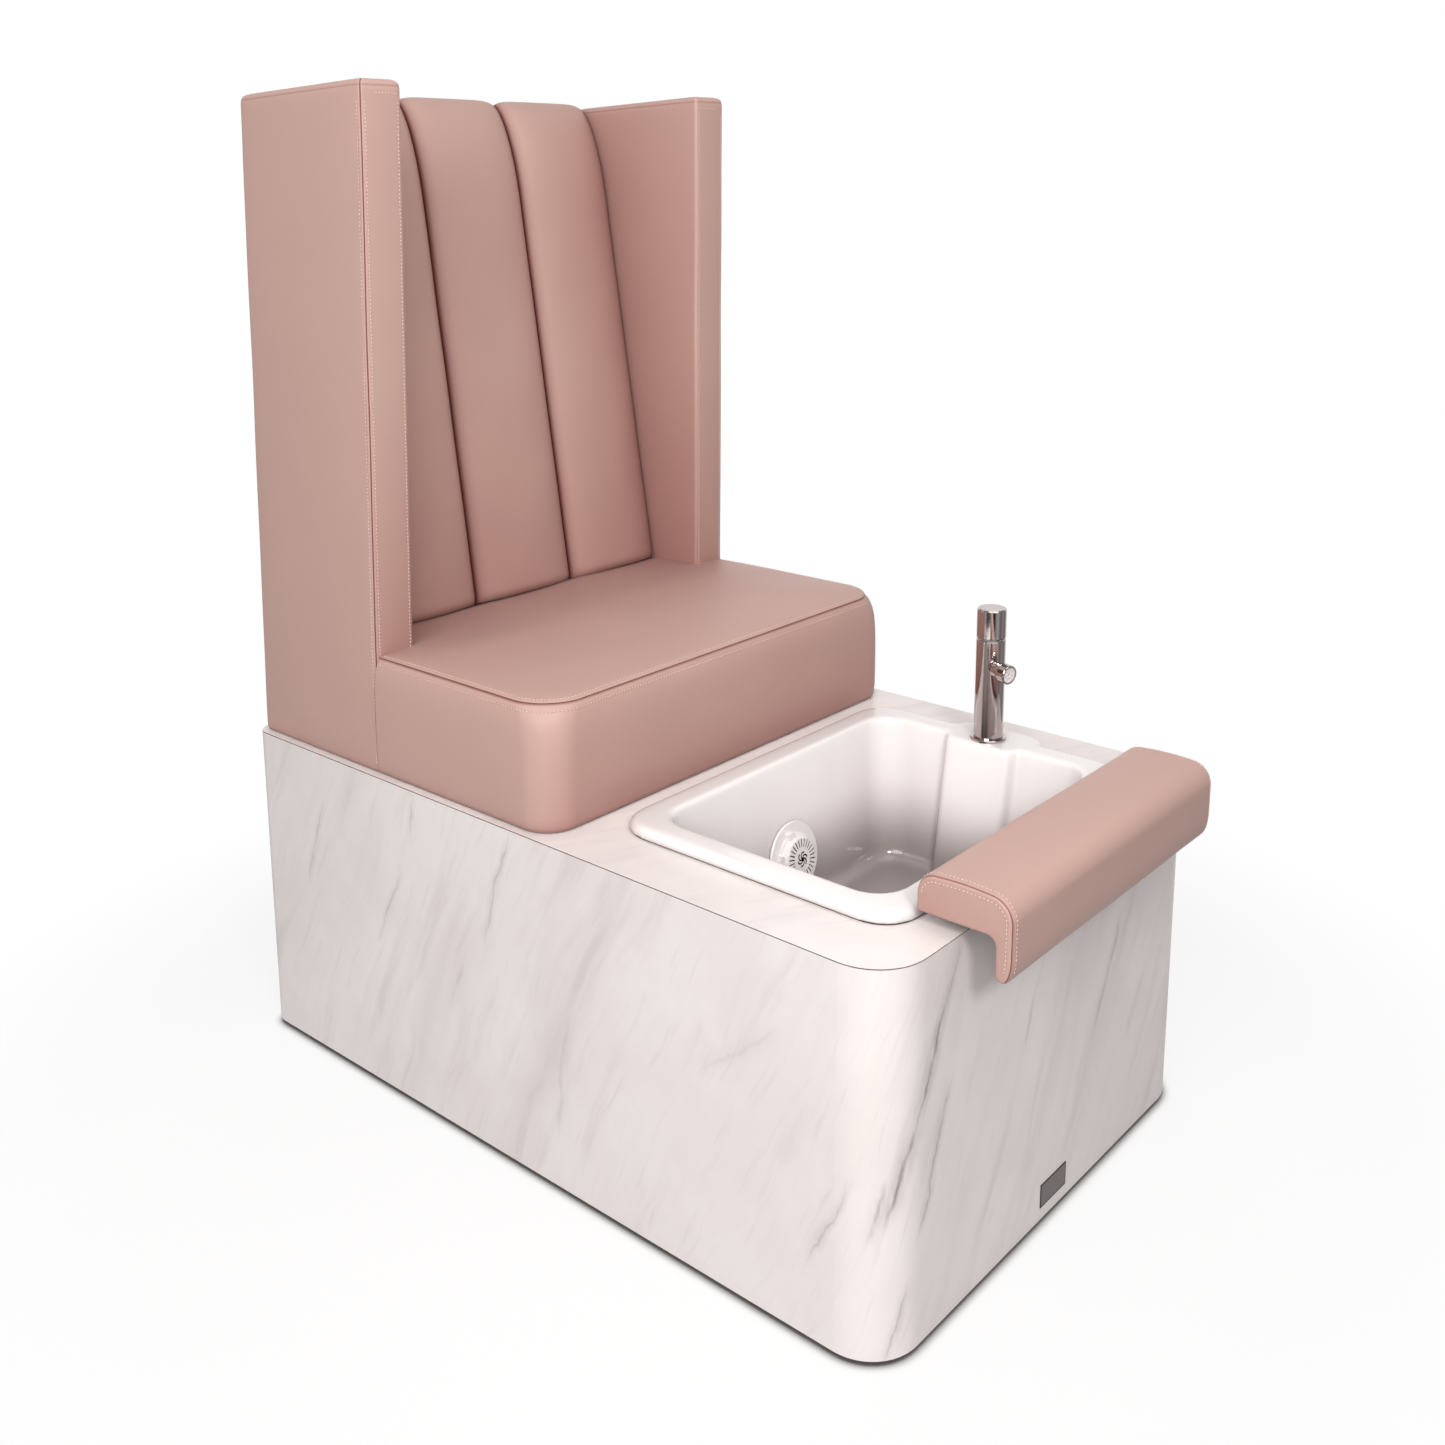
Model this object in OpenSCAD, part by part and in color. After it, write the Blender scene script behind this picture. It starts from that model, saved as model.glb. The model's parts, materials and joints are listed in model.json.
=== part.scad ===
// Pedicure spa chair: laminated plinth, drop-in foot basin with a water jet and a mixer tap,
// padded seat with a channelled back between two wings, and a lift-off padded footrest.
// Millimetres. +Z is up, the client's feet point to -Y, and distances named "..._d" run back
// from the plinth's front face.

/* [Plinth] */
// Width of the plinth
plinth_w = 700; // [680:5:720]
// Length of the plinth, front to rear
plinth_l = 1075; // [1065:5:1100]
// Height of the deck above the floor
plinth_h = 447; // [440:1:460]
// Radius of the two front corners
front_r = 63; // [50:1:80]
// Radius of the two rear corners
rear_r = 22; // [20:1:25]
// Thickness of the core panels
panel_t = 18; // [16:1:18]
// Thickness of the deck's core
deck_t = 22; // [20:1:25]
// Thickness of the laminate skin
lam_t = 1.2; // [0.8:0.1:1.5]
// Gap under the plinth, set by the levelling feet
foot_gap = 6; // [6:1:8]
// How far the rear panel stands in from the rear face
rear_recess = 40; // [35:1:45]

/* [Basin] */
// Distance of the basin's middle behind the front face
basin_d = 250; // [248:1:252]
// Width of the basin over its rim
rim_w = 542; // [530:2:550]
// Length of the basin over its rim
rim_l = 402; // [396:2:406]
// Outer corner radius of the rim
rim_r = 48; // [44:1:52]
// Top of the rim above the deck
rim_h = 14; // [12:1:16]
// Width of the rim's band
rim_band = 38; // [36:1:42]
// Depth of the bowl below the rim's top
bowl_depth = 192; // [180:2:200]
// Thickness of the ceramic
wall_t = 11; // [10:0.5:12]
// Slope of the bowl's walls in degrees
wall_a = 9; // [8:0.5:10]
// Height of the water jet above the floor
jet_z = 333; // [330:1:336]

/* [Tap] */
// Distance of the tap from the middle of the chair
tap_x = 246; // [244:1:248]
// Radius of the tap's column
tap_r = 19.8; // [19.6:0.1:20.5]
// Height of the column, up to the gap under the handle
tap_h = 140; // [138:1:146]
// Height of the handle
handle_h = 39.5; // [36:0.5:42]
// Height of the spout above the basin's rim
spout_h = 107; // [104:1:110]
// Direction in which the spout leaves the column, in degrees from +X
spout_turn = 225; // [215:1:230]
// Direction in which the swivel nozzle points, in degrees from +X
nozzle_turn = 256; // [250:1:258]

/* [Upholstery] */
// Width over the seat
seat_w = 688; // [680:2:692]
// Width over the wings where they stand on the deck
wings_w = 682; // [676:2:690]
// Distance of the seat's front behind the plinth's front
seat_d = 482; // [478:1:486]
// Height of the seat's top seam above the deck
seat_h = 157; // [150:1:170]
// Rise of the seat's crown over its seam
seat_crown = 12; // [8:1:16]
// Radius of the seat's front corners
seat_r = 46; // [42:1:60]
// Distance of the wings' front edge behind the plinth's front
wing_d = 803; // [798:1:806]
// Depth of a wing, front to rear
wing_l = 265; // [260:1:268]
// Thickness of a wing
wing_t = 61; // [58:1:64]
// Height of a wing above the deck
wing_h = 875; // [865:1:885]
// How far each wing leans in at its top
wing_lean = 10; // [4:1:12]
// Distance of the back's seams behind the front, at the seat
back_low_d = 900; // [895:1:905]
// Distance of the back's seams behind the front, at the head
back_high_d = 1000; // [990:1:1004]
// Depth of the back's three channels
channel_depth = 22; // [16:1:26]

/* [Footrest] */
// Length of the footrest's pad
rest_l = 474; // [460:2:500]
// How far the pad stands out past the front face
rest_out = 67; // [64:1:75]
// Height of the pad's underside above the deck
rest_gap = 15; // [15:1:18]
// Thickness of the pad over the deck
rest_t = 48; // [40:1:52]
// How far the pad's lip hangs below the deck
rest_drop = 31; // [25:1:35]

/* [Hidden] */
$fn = 64;
half_w = plinth_w / 2;
front_y = rest_out / 2 - plinth_l / 2;
rear_y = front_y + plinth_l;
skin = lam_t + panel_t;
// the gap that keeps neighbouring pieces apart
play = 0.3;
// the radial clearance of a fixed piece in its hole, and of a running fit
snug = 0.1;
run = 0.05;
// levels
core_top = plinth_h - lam_t;
core_low = core_top - deck_t;
board_top = foot_gap + panel_t;
rim_top = plinth_h + rim_h;
seal_t = 1.2;
// basin
basin_y = front_y + basin_d;
bowl_w = rim_w / 2 - rim_band;
bowl_l = rim_l / 2 - rim_band;
floor_z = rim_top - bowl_depth;
draft = tan(wall_a);
wall_n = wall_t * cos(wall_a);
bowl_r = 40;
fillet = 16;
ledge_out = 16;
ledge_half = 46;
ledge_skew = 8;
shelf_x = rim_w / 2 + 24;
deck_clear = 3;
// jet
jet_y = basin_y + bowl_l - (rim_top - jet_z) * draft;
jet_r = 48;
tube_r = 27;
tube_end = -38;
gasket_t = 1.5;
flange_t = 4;
cover_r = 30;
cover_h = 12;
slot_n = 26;
motor_r = 36;
motor_l = 46;
shaft_r = 3;
// tap
shank_r = 14;
shank_low = rim_top - 52;
ring_r = 24.3;
ring_t = 4;
tap_top = rim_top + tap_h;
handle_z = tap_top + 3;
handle_top = handle_z + handle_h;
cartridge_low = tap_top - 25;
cartridge_r = 17.4;
spindle_r = 4;
spout_z = rim_top + spout_h;
ball_d = 32;
ball_r = 7.5;
nozzle_bore = 10.4;
neck_r = 4;
hose_r = 5;
hose_x = 6.5;
hot_z = 150;
cold_z = 90;
bend_r = 60;
hose_end = rear_y - rear_recess - panel_t - 8;
thread_r = 10.478;
barrel_r = 11.5;
// services
panel_y = rear_y - rear_recess - panel_t;
waste_r = 19;
pipe_r = 20;
pipe_z = 165;
gland_x = -200;
gland_z = 120;
bulkhead_y = front_y + 510;
// upholstery
seat_y = front_y + seat_d;
wing_y = front_y + wing_d;
seam_z = plinth_h + seat_h;
wing_top = plinth_h + wing_h;
pad_z = plinth_h + 0.6;
seat_half = seat_w / 2;
wing_half = wings_w / 2;
wing_in = wing_half - wing_t;
board_x = wing_in + 20;
// where the back starts to roll towards the rear, and where its seams' line ends
roll_z = wing_top - 142;
head_z = wing_top - 47;
back_slope = (back_high_d - back_low_d) / (head_z - seam_z);
back_foam = 8;
back_t = 12;
back_top = wing_top - 92;
shell_low_y = rear_y - 20;
shell_high_y = rear_y - 37;
shell_t = 5;
bolt_r = 4;
bolt_xy = [[200, 60], [200, 240], [board_x + 9, 345], [board_x + 9, 450]];
// footrest
peg_x = 180;
peg_y = front_y + 22;
peg_r = 6;
collar_r = 11;
rest_half = rest_l / 2;
rest_front = front_y - rest_out;
rest_back = front_y + 47;
rest_low = plinth_h + rest_gap;
rest_top = plinth_h + rest_gap + rest_t;
leg_in = front_y - 46;
rest_ply = 12;

function back_y(z) = front_y + back_low_d + (z - seam_z) * back_slope;
function wing_shift(z) = wing_lean * (z - plinth_h) / wing_h;
function back_half(z) = wing_in - wing_shift(z) - 3 * play;

module plate(x0, x1, y0, y1, z0, z1) {
    translate([x0, y0, z0])
        cube([x1 - x0, y1 - y0, z1 - z0]);
}

module post(x, y, z0, z1, r) {
    translate([x, y, z0])
        cylinder(h = z1 - z0, r = r);
}

module along_y(x, z, y0, y1, r) {
    translate([x, y0, z])
        rotate([-90, 0, 0])
            cylinder(h = y1 - y0, r = r);
}

module pair() {
    children();
    mirror([1, 0, 0])
        children();
}

module plinth_outline(i) {
    w = half_w - i;
    f = front_y + i;
    b = rear_y - i;
    rf = front_r - i;
    rr = rear_r - i;
    translate([-w, f + rf])
        square([2 * w, b - rr - f - rf]);
    translate([rf - w, f])
        square([2 * (w - rf), front_r]);
    translate([rr - w, b - rear_r])
        square([2 * (w - rr), rear_r - i]);
    for (s = [-1, 1]) {
        translate([s * (w - rf), f + rf])
            circle(r = rf);
        translate([s * (w - rr), b - rr])
            circle(r = rr);
    }
}

// one thin level of a pad, with its front and rear corner radii
module level(x0, x1, y0, y1, rf, rb, z) {
    for (x = [x0 + rf, x1 - rf])
        translate([x, y0 + rf, z])
            cylinder(h = 0.2, r = rf, $fn = 32);
    for (x = [x0 + rb, x1 - rb])
        translate([x, y1 - rb, z])
            cylinder(h = 0.2, r = rb, $fn = 32);
}

module bolt_holes(z0, z1) {
    pair()
        for (p = bolt_xy)
            post(p[0], p[1], z0, z1, bolt_r + snug);
}

// ---- plinth ----

foot_xy = [[295, front_y + 62], [295, rear_y - 95]];

module levelling_feet() {
    color("#3b3b3d")
        pair()
            for (p = foot_xy) {
                post(p[0], p[1], 0, foot_gap - 1, 22);
                post(p[0], p[1], foot_gap - 1.1, board_top + 16, 5);
                post(p[0], p[1], board_top + play, board_top + 8, 9);
            }
}

module base_board() {
    color("#b79a72")
        difference() {
            translate([0, 0, foot_gap])
                linear_extrude(panel_t)
                    difference() {
                        plinth_outline(skin + play);
                        translate([-plinth_w, panel_y])
                            square([2 * plinth_w, plinth_l]);
                        translate([0, basin_y])
                            circle(r = 60);
                    }
            pair()
                for (p = foot_xy)
                    post(p[0], p[1], 0, board_top + 1, 5 + snug);
        }
}

module side_panels() {
    color("#b79a72")
        pair()
            plate(half_w - skin, half_w - lam_t, front_y + front_r, rear_y - rear_r,
                foot_gap, core_low);
}

module front_panel() {
    color("#b79a72")
        plate(front_r - half_w, half_w - front_r, front_y + lam_t, front_y + skin,
            foot_gap, core_low);
}

module front_corners() {
    color("#b79a72")
        pair()
            translate([front_r - half_w, front_y + front_r, foot_gap])
                intersection() {
                    difference() {
                        cylinder(h = core_low - foot_gap, r = front_r - lam_t);
                        translate([0, 0, -1])
                            cylinder(h = plinth_h, r = front_r - skin);
                    }
                    translate([-front_r, -front_r, 0])
                        cube([front_r, front_r, plinth_h]);
                }
}

module rear_stiles() {
    color("#b79a72")
        pair()
            translate([half_w - rear_r, rear_y - rear_r, foot_gap])
                intersection() {
                    cylinder(h = core_low - foot_gap, r = rear_r - lam_t);
                    cube([rear_r, rear_r, plinth_h]);
                }
}

batten = 30;
screw_x = half_w - skin - batten / 2;
screw_z = [70, 220, 370];

module rear_battens() {
    color("#b79a72")
        pair()
            difference() {
                plate(half_w - skin - batten, half_w - skin, panel_y - batten, panel_y,
                    board_top, core_low);
                for (z = screw_z)
                    along_y(screw_x, z, panel_y - 22, panel_y + 1, 2 + snug);
            }
}

module rear_panel() {
    color("#c9c4c2")
        difference() {
            plate(play + skin - half_w, half_w - skin - play, panel_y, panel_y + panel_t,
                foot_gap + 2, core_low - 2);
            pair()
                for (z = screw_z)
                    along_y(screw_x, z, panel_y - 1, rear_y, 2 + snug);
            for (z = [hot_z, cold_z])
                along_y(tap_x + (z == hot_z ? -hose_x : hose_x), z, panel_y - 1, rear_y,
                    barrel_r + snug);
            along_y(0, pipe_z, panel_y - 1, rear_y, pipe_r + 1);
            along_y(gland_x, gland_z, panel_y - 1, rear_y, 10 + snug);
            for (i = [-3 : 3])
                for (z = [280, 310, 340]) {
                    plate(i * 70 - 22, i * 70 + 22, panel_y - 1, rear_y, z - 3, z + 3);
                    along_y(i * 70 - 22, z, panel_y - 1, rear_y, 3);
                    along_y(i * 70 + 22, z, panel_y - 1, rear_y, 3);
                }
        }
}

module rear_panel_screws() {
    color("#b9bbbf")
        pair()
            for (z = screw_z) {
                along_y(screw_x, z, panel_y - 20, panel_y + panel_t + 1, 2);
                along_y(screw_x, z, panel_y + panel_t, panel_y + panel_t + 2.5, 4.5);
            }
}

module seat_bulkhead() {
    color("#b79a72")
        difference() {
            plate(skin - half_w, half_w - skin, bulkhead_y, bulkhead_y + panel_t,
                board_top, core_low);
            along_y(0, pipe_z, 0, rear_y, pipe_r + 1);
            along_y(tap_x - hose_x, hot_z, 0, rear_y, hose_r + 2);
            along_y(tap_x + hose_x, cold_z, 0, rear_y, hose_r + 2);
            along_y(-120, 340, 0, rear_y, 12);
        }
}

// the opening in the deck under the basin's rim, with the bay for the tap
module deck_opening(z0, z1) {
    w = bowl_w + wall_t + deck_clear;
    l = bowl_l + wall_t + deck_clear;
    r = bowl_r + wall_t;
    for (s = [-1, 1])
        for (t = [-1, 1])
            post(s * (w - r), basin_y + t * (l - r), z0, z1, r);
    plate(-w, w, basin_y - l + r, basin_y + l - r, z0, z1);
    plate(r - w, w - r, basin_y - l, basin_y + l, z0, z1);
    plate(0, shelf_x - 16, basin_y - 26, basin_y + 26, z0, z1);
}

module deck_core() {
    color("#b79a72")
        difference() {
            translate([0, 0, core_low])
                linear_extrude(deck_t)
                    plinth_outline(lam_t);
            deck_opening(0, plinth_h + 1);
            bolt_holes(0, plinth_h + 1);
            pair()
                post(peg_x, peg_y, 0, plinth_h + 1, peg_r + 2 + snug);
        }
}

module deck_laminate() {
    color("#ded6d4")
        difference() {
            translate([0, 0, core_top])
                linear_extrude(lam_t)
                    plinth_outline(0);
            deck_opening(0, plinth_h + 1);
            bolt_holes(0, plinth_h + 1);
            pair()
                post(peg_x, peg_y, 0, plinth_h + 1, peg_r + 2 + snug);
        }
}

module laminate_wrap() {
    color("#d6cfcd")
        translate([0, 0, foot_gap])
            linear_extrude(core_top - foot_gap)
                difference() {
                    plinth_outline(0);
                    plinth_outline(lam_t);
                    translate([rear_r - half_w, rear_y - rear_r])
                        square([plinth_w - 2 * rear_r, 2 * rear_r]);
                }
}

module badge_plate() {
    color("#b4aeae")
        plate(-30, 30, front_y - 0.8, front_y, 22, 52);
}

// ---- basin ----

// a bowl that opens upwards: g is how far it stands outside the inner bowl
module bowl(g, z0, z1) {
    w0 = bowl_w + g - (rim_top - z0) * draft;
    l0 = bowl_l + g - (rim_top - z0) * draft;
    w1 = bowl_w + g - (rim_top - z1) * draft;
    l1 = bowl_l + g - (rim_top - z1) * draft;
    hull() {
        level(-w1, w1, basin_y - l1, basin_y + l1, bowl_r + g, bowl_r + g, z1 - 0.2);
        for (a = [0 : 22.5 : 90]) {
            i = fillet * (1 - sin(a)) - fillet * (1 - cos(a)) * draft;
            level(i - w0, w0 - i, basin_y - l0 + i, basin_y + l0 - i,
                bowl_r + g - i, bowl_r + g - i, z0 + fillet * (1 - cos(a)));
        }
    }
}

// the block that stands into the bowl under the tap: g as above
module ledge(g, cut, z0, z1) {
    hull()
        for (z = [z0, z1 - 0.2]) {
            x = bowl_w - ledge_out - (rim_top - z) * draft + g;
            translate([0, basin_y, z])
                linear_extrude(0.2)
                    polygon([
                        [x, -ledge_half + cut], [x, ledge_half - cut],
                        [x + ledge_out, ledge_half + ledge_skew - cut],
                        [x + 80, ledge_half + ledge_skew - cut],
                        [x + 80, cut - ledge_half - ledge_skew],
                        [x + ledge_out, cut - ledge_half - ledge_skew]
                    ]);
        }
}

rim_round = 9;

module rim_body() {
    lo = plinth_h + seal_t;
    hull()
        for (a = [0 : 22.5 : 90]) {
            i = rim_round * (1 - cos(a));
            level(i - rim_w / 2, rim_w / 2 - i, basin_y - rim_l / 2 + i,
                basin_y + rim_l / 2 - i, rim_r - i, rim_r - i,
                (a == 0 ? lo : rim_top - rim_round * (1 - sin(a)) - 0.2));
        }
    hull()
        for (a = [0 : 22.5 : 90]) {
            i = rim_round * (1 - cos(a));
            level(bowl_w, shelf_x - i, basin_y - 66 + i, basin_y + 66 - i, 28 - i, 28 - i,
                (a == 0 ? lo : rim_top - rim_round * (1 - sin(a)) - 0.2));
        }
}

module basin() {
    color("#f1edec")
        difference() {
            union() {
                rim_body();
                bowl(wall_t, floor_z - wall_t, rim_top - 4);
            }
            difference() {
                bowl(0, floor_z, rim_top + 1);
                ledge(0, 0, floor_z - 1, rim_top - 0.1);
            }
            ledge(9, 16, floor_z - 30, plinth_h);
            post(tap_x, basin_y, floor_z, rim_top + 1, shank_r + snug);
            post(0, basin_y, 0, rim_top, waste_r + snug);
            jet_place()
                translate([0, 0, -40])
                    cylinder(h = 80, r = tube_r + snug);
        }
}

module basin_seal() {
    i = 4;
    color("#4a4244")
        difference() {
            union() {
                translate([0, basin_y, plinth_h])
                    linear_extrude(seal_t)
                        seal_outline(rim_w / 2 - i, rim_l / 2 - i, rim_r - i);
                plate(0, shelf_x - i, basin_y - 60, basin_y + 60, plinth_h, plinth_h + seal_t);
            }
            deck_opening(plinth_h - 1, plinth_h + 5);
        }
}

module seal_outline(w, l, r) {
    translate([-w, r - l])
        square([2 * w, 2 * (l - r)]);
    translate([r - w, -l])
        square([2 * (w - r), 2 * l]);
    for (s = [-1, 1])
        for (t = [-1, 1])
            translate([s * (w - r), t * (l - r)])
                circle(r = r);
}

// ---- waste ----

guide_z = floor_z - 22;
tail_z = 205;

module waste_body() {
    color("#c9c9cc")
        difference() {
            union() {
                post(0, basin_y, floor_z + play, floor_z + 2.5, 34);
                post(0, basin_y, tail_z, floor_z + 1, waste_r);
            }
            post(0, basin_y, guide_z + 6, rim_top, 16);
            post(0, basin_y, 0, guide_z, 16);
            difference() {
                post(0, basin_y, guide_z - 1, guide_z + 7, 16);
                post(0, basin_y, guide_z - 2, guide_z + 8, 6);
                for (a = [0, 60, 120])
                    translate([0, basin_y, guide_z + 3])
                        rotate([0, 0, a])
                            cube([40, 3, 10], center = true);
            }
            post(0, basin_y, 0, rim_top, shaft_r + run);
        }
}

module waste_nut() {
    color("#8d8f94")
        difference() {
            translate([0, basin_y, floor_z - wall_t - 12])
                cylinder(h = 12 - play, r = 32, $fn = 6);
            post(0, basin_y, 0, floor_z, waste_r + snug);
        }
}

module waste_plug() {
    color("#c9c9cc") {
        post(0, basin_y, floor_z + 2.5, floor_z + 6.5, 25);
        post(0, basin_y, guide_z - 6, floor_z + 3, shaft_r);
    }
}

trap_r = 34;
trap_low = 105;
trap_top = 190;

module trap() {
    color("#d9d7d4")
        difference() {
            union() {
                post(0, basin_y, trap_low, trap_top, trap_r);
                post(0, basin_y, trap_top - 1, tail_z + 14, waste_r + 5);
                along_y(0, pipe_z, basin_y + 20, basin_y + trap_r + 24, pipe_r + 4);
            }
            post(0, basin_y, trap_low + 3, trap_top - 3, trap_r - 3);
            post(0, basin_y, trap_low + 3, tail_z + 15, waste_r + snug);
            along_y(0, pipe_z, basin_y + 20, basin_y + trap_r + 25, pipe_r + snug);
        }
}

module waste_pipe() {
    color("#d9d7d4")
        difference() {
            union() {
                along_y(0, pipe_z, basin_y + trap_r + 2, rear_y - 8, pipe_r);
                along_y(0, pipe_z, panel_y + panel_t + play, panel_y + panel_t + 5, pipe_r + 4);
            }
            along_y(0, pipe_z, basin_y, rear_y, pipe_r - 2);
        }
}

// ---- water jet: its own +Z looks out of the rear wall into the bowl ----

module jet_place() {
    translate([0, jet_y, jet_z])
        rotate([90 - wall_a, 0, 0])
            children();
}

module disc(z0, z1, r) {
    translate([0, 0, z0])
        cylinder(h = z1 - z0, r = r);
}

face_z = gasket_t + flange_t;
chamber_low = -28;

module jet_gasket() {
    color("#55504f")
        jet_place()
            difference() {
                disc(play / 2, gasket_t, jet_r - 2);
                disc(-1, 5, tube_r + snug);
            }
}

module jet_body() {
    color("#eeecec")
        jet_place()
            difference() {
                union() {
                    rotate_extrude()
                        polygon([
                            [0, gasket_t], [jet_r - 1, gasket_t], [jet_r, gasket_t + 1],
                            [jet_r, face_z - 1], [jet_r - 1, face_z], [0, face_z]
                        ]);
                    disc(tube_end, gasket_t + 1, tube_r);
                }
                disc(chamber_low, 40, 24);
                disc(tube_end - 1, chamber_low - 4, 24);
                disc(chamber_low - 3, 0, shaft_r);
            }
}

module jet_nut() {
    lo = -wall_n - 12;
    color("#dcdada")
        jet_place()
            difference() {
                union() {
                    disc(lo, -wall_n - play, 36);
                    for (a = [0 : 60 : 300])
                        rotate([0, 0, a])
                            translate([36, 0, lo + 6])
                                cube([8, 9, 11], center = true);
                }
                disc(lo - 1, 0, tube_r + snug);
            }
}

module jet_shaft() {
    color("#b9bbbf")
        jet_place()
            disc(chamber_low - 3, -2, shaft_r);
}

module jet_impeller() {
    color("#e6e4e4")
        jet_place()
            difference() {
                union() {
                    disc(chamber_low + 3, -5, 7);
                    disc(chamber_low + 3, chamber_low + 9, 21);
                    for (a = [0 : 60 : 300])
                        rotate([0, 0, a])
                            translate([0, -1, chamber_low + 8])
                                cube([20, 2, 13]);
                }
                disc(chamber_low, 10, shaft_r + run);
            }
}

slot_out = 26.5;
spigot_r = 24 - run;

module s_slot(a) {
    // two mirrored arcs make one S-shaped slot
    rotate([0, 0, a])
        for (s = [0, 180])
            rotate([0, 0, s])
                translate([4.6, 0, 0])
                    rotate_extrude(angle = 180)
                        translate([3.5, -10])
                            square([2.2, 60]);
}

module jet_cover() {
    top = face_z + cover_h;
    color("#eeecec")
        jet_place()
            difference() {
                union() {
                    rotate_extrude()
                        polygon([
                            [0, face_z + play], [cover_r + 4, face_z + play],
                            [cover_r + 4, face_z + 2.5], [cover_r, face_z + 3.2],
                            [cover_r, top - 3], [cover_r - 0.9, top - 0.9],
                            [cover_r - 3, top], [0, top + 1]
                        ]);
                    disc(-3, face_z + 1, spigot_r);
                    for (a = [105, 165, 285])
                        rotate([0, 0, a])
                            translate([cover_r - 1, -4.5, face_z + play])
                                cube([9, 9, 7.5]);
                }
                disc(-4, top - 2.6, 21);
                disc(face_z + 3, top - 2.6, cover_r - 2.6);
                for (i = [0 : slot_n - 1])
                    rotate([0, 0, i * 360 / slot_n])
                        translate([16.2, -0.8, top - 4])
                            cube([slot_out - 16.2, 1.6, 8]);
                intersection() {
                    disc(top - 4, top + 5, 13.6);
                    for (a = [0, 60, 120])
                        s_slot(a);
                }
                for (a = [-40 : 16 : 40])
                    rotate([0, 0, a])
                        translate([cover_r - 6, -1.2, face_z + 5])
                            cube([10, 2.4, 4]);
            }
}

case_top = tube_end + 6;

module motor_case() {
    color("#3c3c40")
        jet_place()
            difference() {
                union() {
                    disc(tube_end - motor_l, tube_end, motor_r);
                    disc(tube_end - 1, case_top, tube_r + 5);
                }
                disc(tube_end, case_top + 1, tube_r + snug);
                disc(tube_end - motor_l + 3, tube_end + 1, motor_r - 10);
                disc(tube_end - motor_l + 3, tube_end - 8, motor_r - 3);
            }
}

module motor_stator() {
    lo = tube_end - motor_l + 3;
    color("#7c4a2c")
        jet_place()
            difference() {
                disc(lo, tube_end - 10, motor_r - 3 - snug);
                disc(lo + 4, tube_end, 17);
                disc(lo - 1, tube_end, shaft_r + run);
            }
}

module motor_rotor() {
    lo = tube_end - motor_l + 3;
    color("#8d8f94")
        jet_place() {
            disc(lo + 6, tube_end - 9, 16);
            disc(tube_end - 9.5, tube_end - 3, 21);
            disc(lo + play, lo + 7, shaft_r);
        }
}

// ---- tap ----

module at_tap(z) {
    translate([tap_x, basin_y, z])
        children();
}

module tap_base_ring() {
    color("#c3bcc0")
        at_tap(rim_top)
            difference() {
                rotate_extrude()
                    polygon([
                        [0, 0], [ring_r, 0], [ring_r, ring_t - 1], [ring_r - 1, ring_t], [0, ring_t]
                    ]);
                translate([0, 0, -1])
                    cylinder(h = 10, r = shank_r + snug);
            }
}

module tap_body() {
    h = tap_h;
    color("#c3bcc0")
        difference() {
            union() {
                at_tap(rim_top)
                    rotate_extrude()
                        polygon([
                            [0, ring_t], [tap_r - 1.5, ring_t], [tap_r - 1.5, ring_t + 1.6],
                            [tap_r, ring_t + 2.2], [tap_r, h - 0.6], [tap_r - 0.6, h], [0, h]
                        ]);
                post(tap_x, basin_y, shank_low, rim_top + ring_t + 1, shank_r);
                at_tap(spout_z)
                    rotate([0, 90, spout_turn])
                        cylinder(h = ball_d - 10, r = 8);
            }
            post(tap_x, basin_y, cartridge_low, tap_top + 1, cartridge_r + snug);
            for (s = [-1, 1])
                post(tap_x + s * hose_x, basin_y, shank_low - 1, shank_low + 24, hose_r + snug);
            at_tap(spout_z)
                rotate([0, 90, spout_turn])
                    cylinder(h = 60, r = neck_r + snug);
        }
}

module tap_nut() {
    color("#8d8f94")
        difference() {
            at_tap(plinth_h - 12)
                cylinder(h = 12 - play, r = 18);
            post(tap_x, basin_y, 0, rim_top, shank_r + snug);
        }
}

module cartridge_body() {
    color("#dcd8d2")
        difference() {
            union() {
                post(tap_x, basin_y, cartridge_low + play, tap_top - 1, cartridge_r);
                post(tap_x, basin_y, tap_top - 2, tap_top + 7, 11);
            }
            post(tap_x, basin_y, tap_top - 22, handle_top, spindle_r + run);
        }
}

module cartridge_spindle() {
    color("#b08d4a")
        post(tap_x, basin_y, tap_top - 20, handle_z + 20, spindle_r);
}

module tap_handle() {
    color("#c3bcc0")
        difference() {
            at_tap(handle_z)
                rotate_extrude()
                    polygon([
                        [0, 0], [tap_r - 0.6, 0], [tap_r, 0.6], [tap_r, handle_h - 1.8],
                        [tap_r - 1.8, handle_h], [0, handle_h]
                    ]);
            post(tap_x, basin_y, tap_top, handle_z + 8, 15);
            post(tap_x, basin_y, tap_top, handle_z + 20.5, spindle_r + snug);
            at_tap(handle_z + 14)
                rotate([0, 90, 60])
                    cylinder(h = 40, r = 2 + snug);
        }
}

module handle_screw() {
    color("#8d8f94")
        at_tap(handle_z + 14)
            rotate([0, 90, 60])
                translate([0, 0, spindle_r + snug])
                    cylinder(h = 12, r = 2);
}

ball_x = tap_x + ball_d * cos(spout_turn);
ball_y = basin_y + ball_d * sin(spout_turn);

module nozzle_stud() {
    color("#c3bcc0") {
        translate([ball_x, ball_y, spout_z]) {
            sphere(r = ball_r);
            translate([0, 0, -1.5])
                cylinder(h = 3, r = ball_r - 0.08);
        }
        at_tap(spout_z)
            rotate([0, 90, spout_turn])
                translate([0, 0, cartridge_r])
                    cylinder(h = ball_d - cartridge_r, r = neck_r);
    }
}

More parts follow.
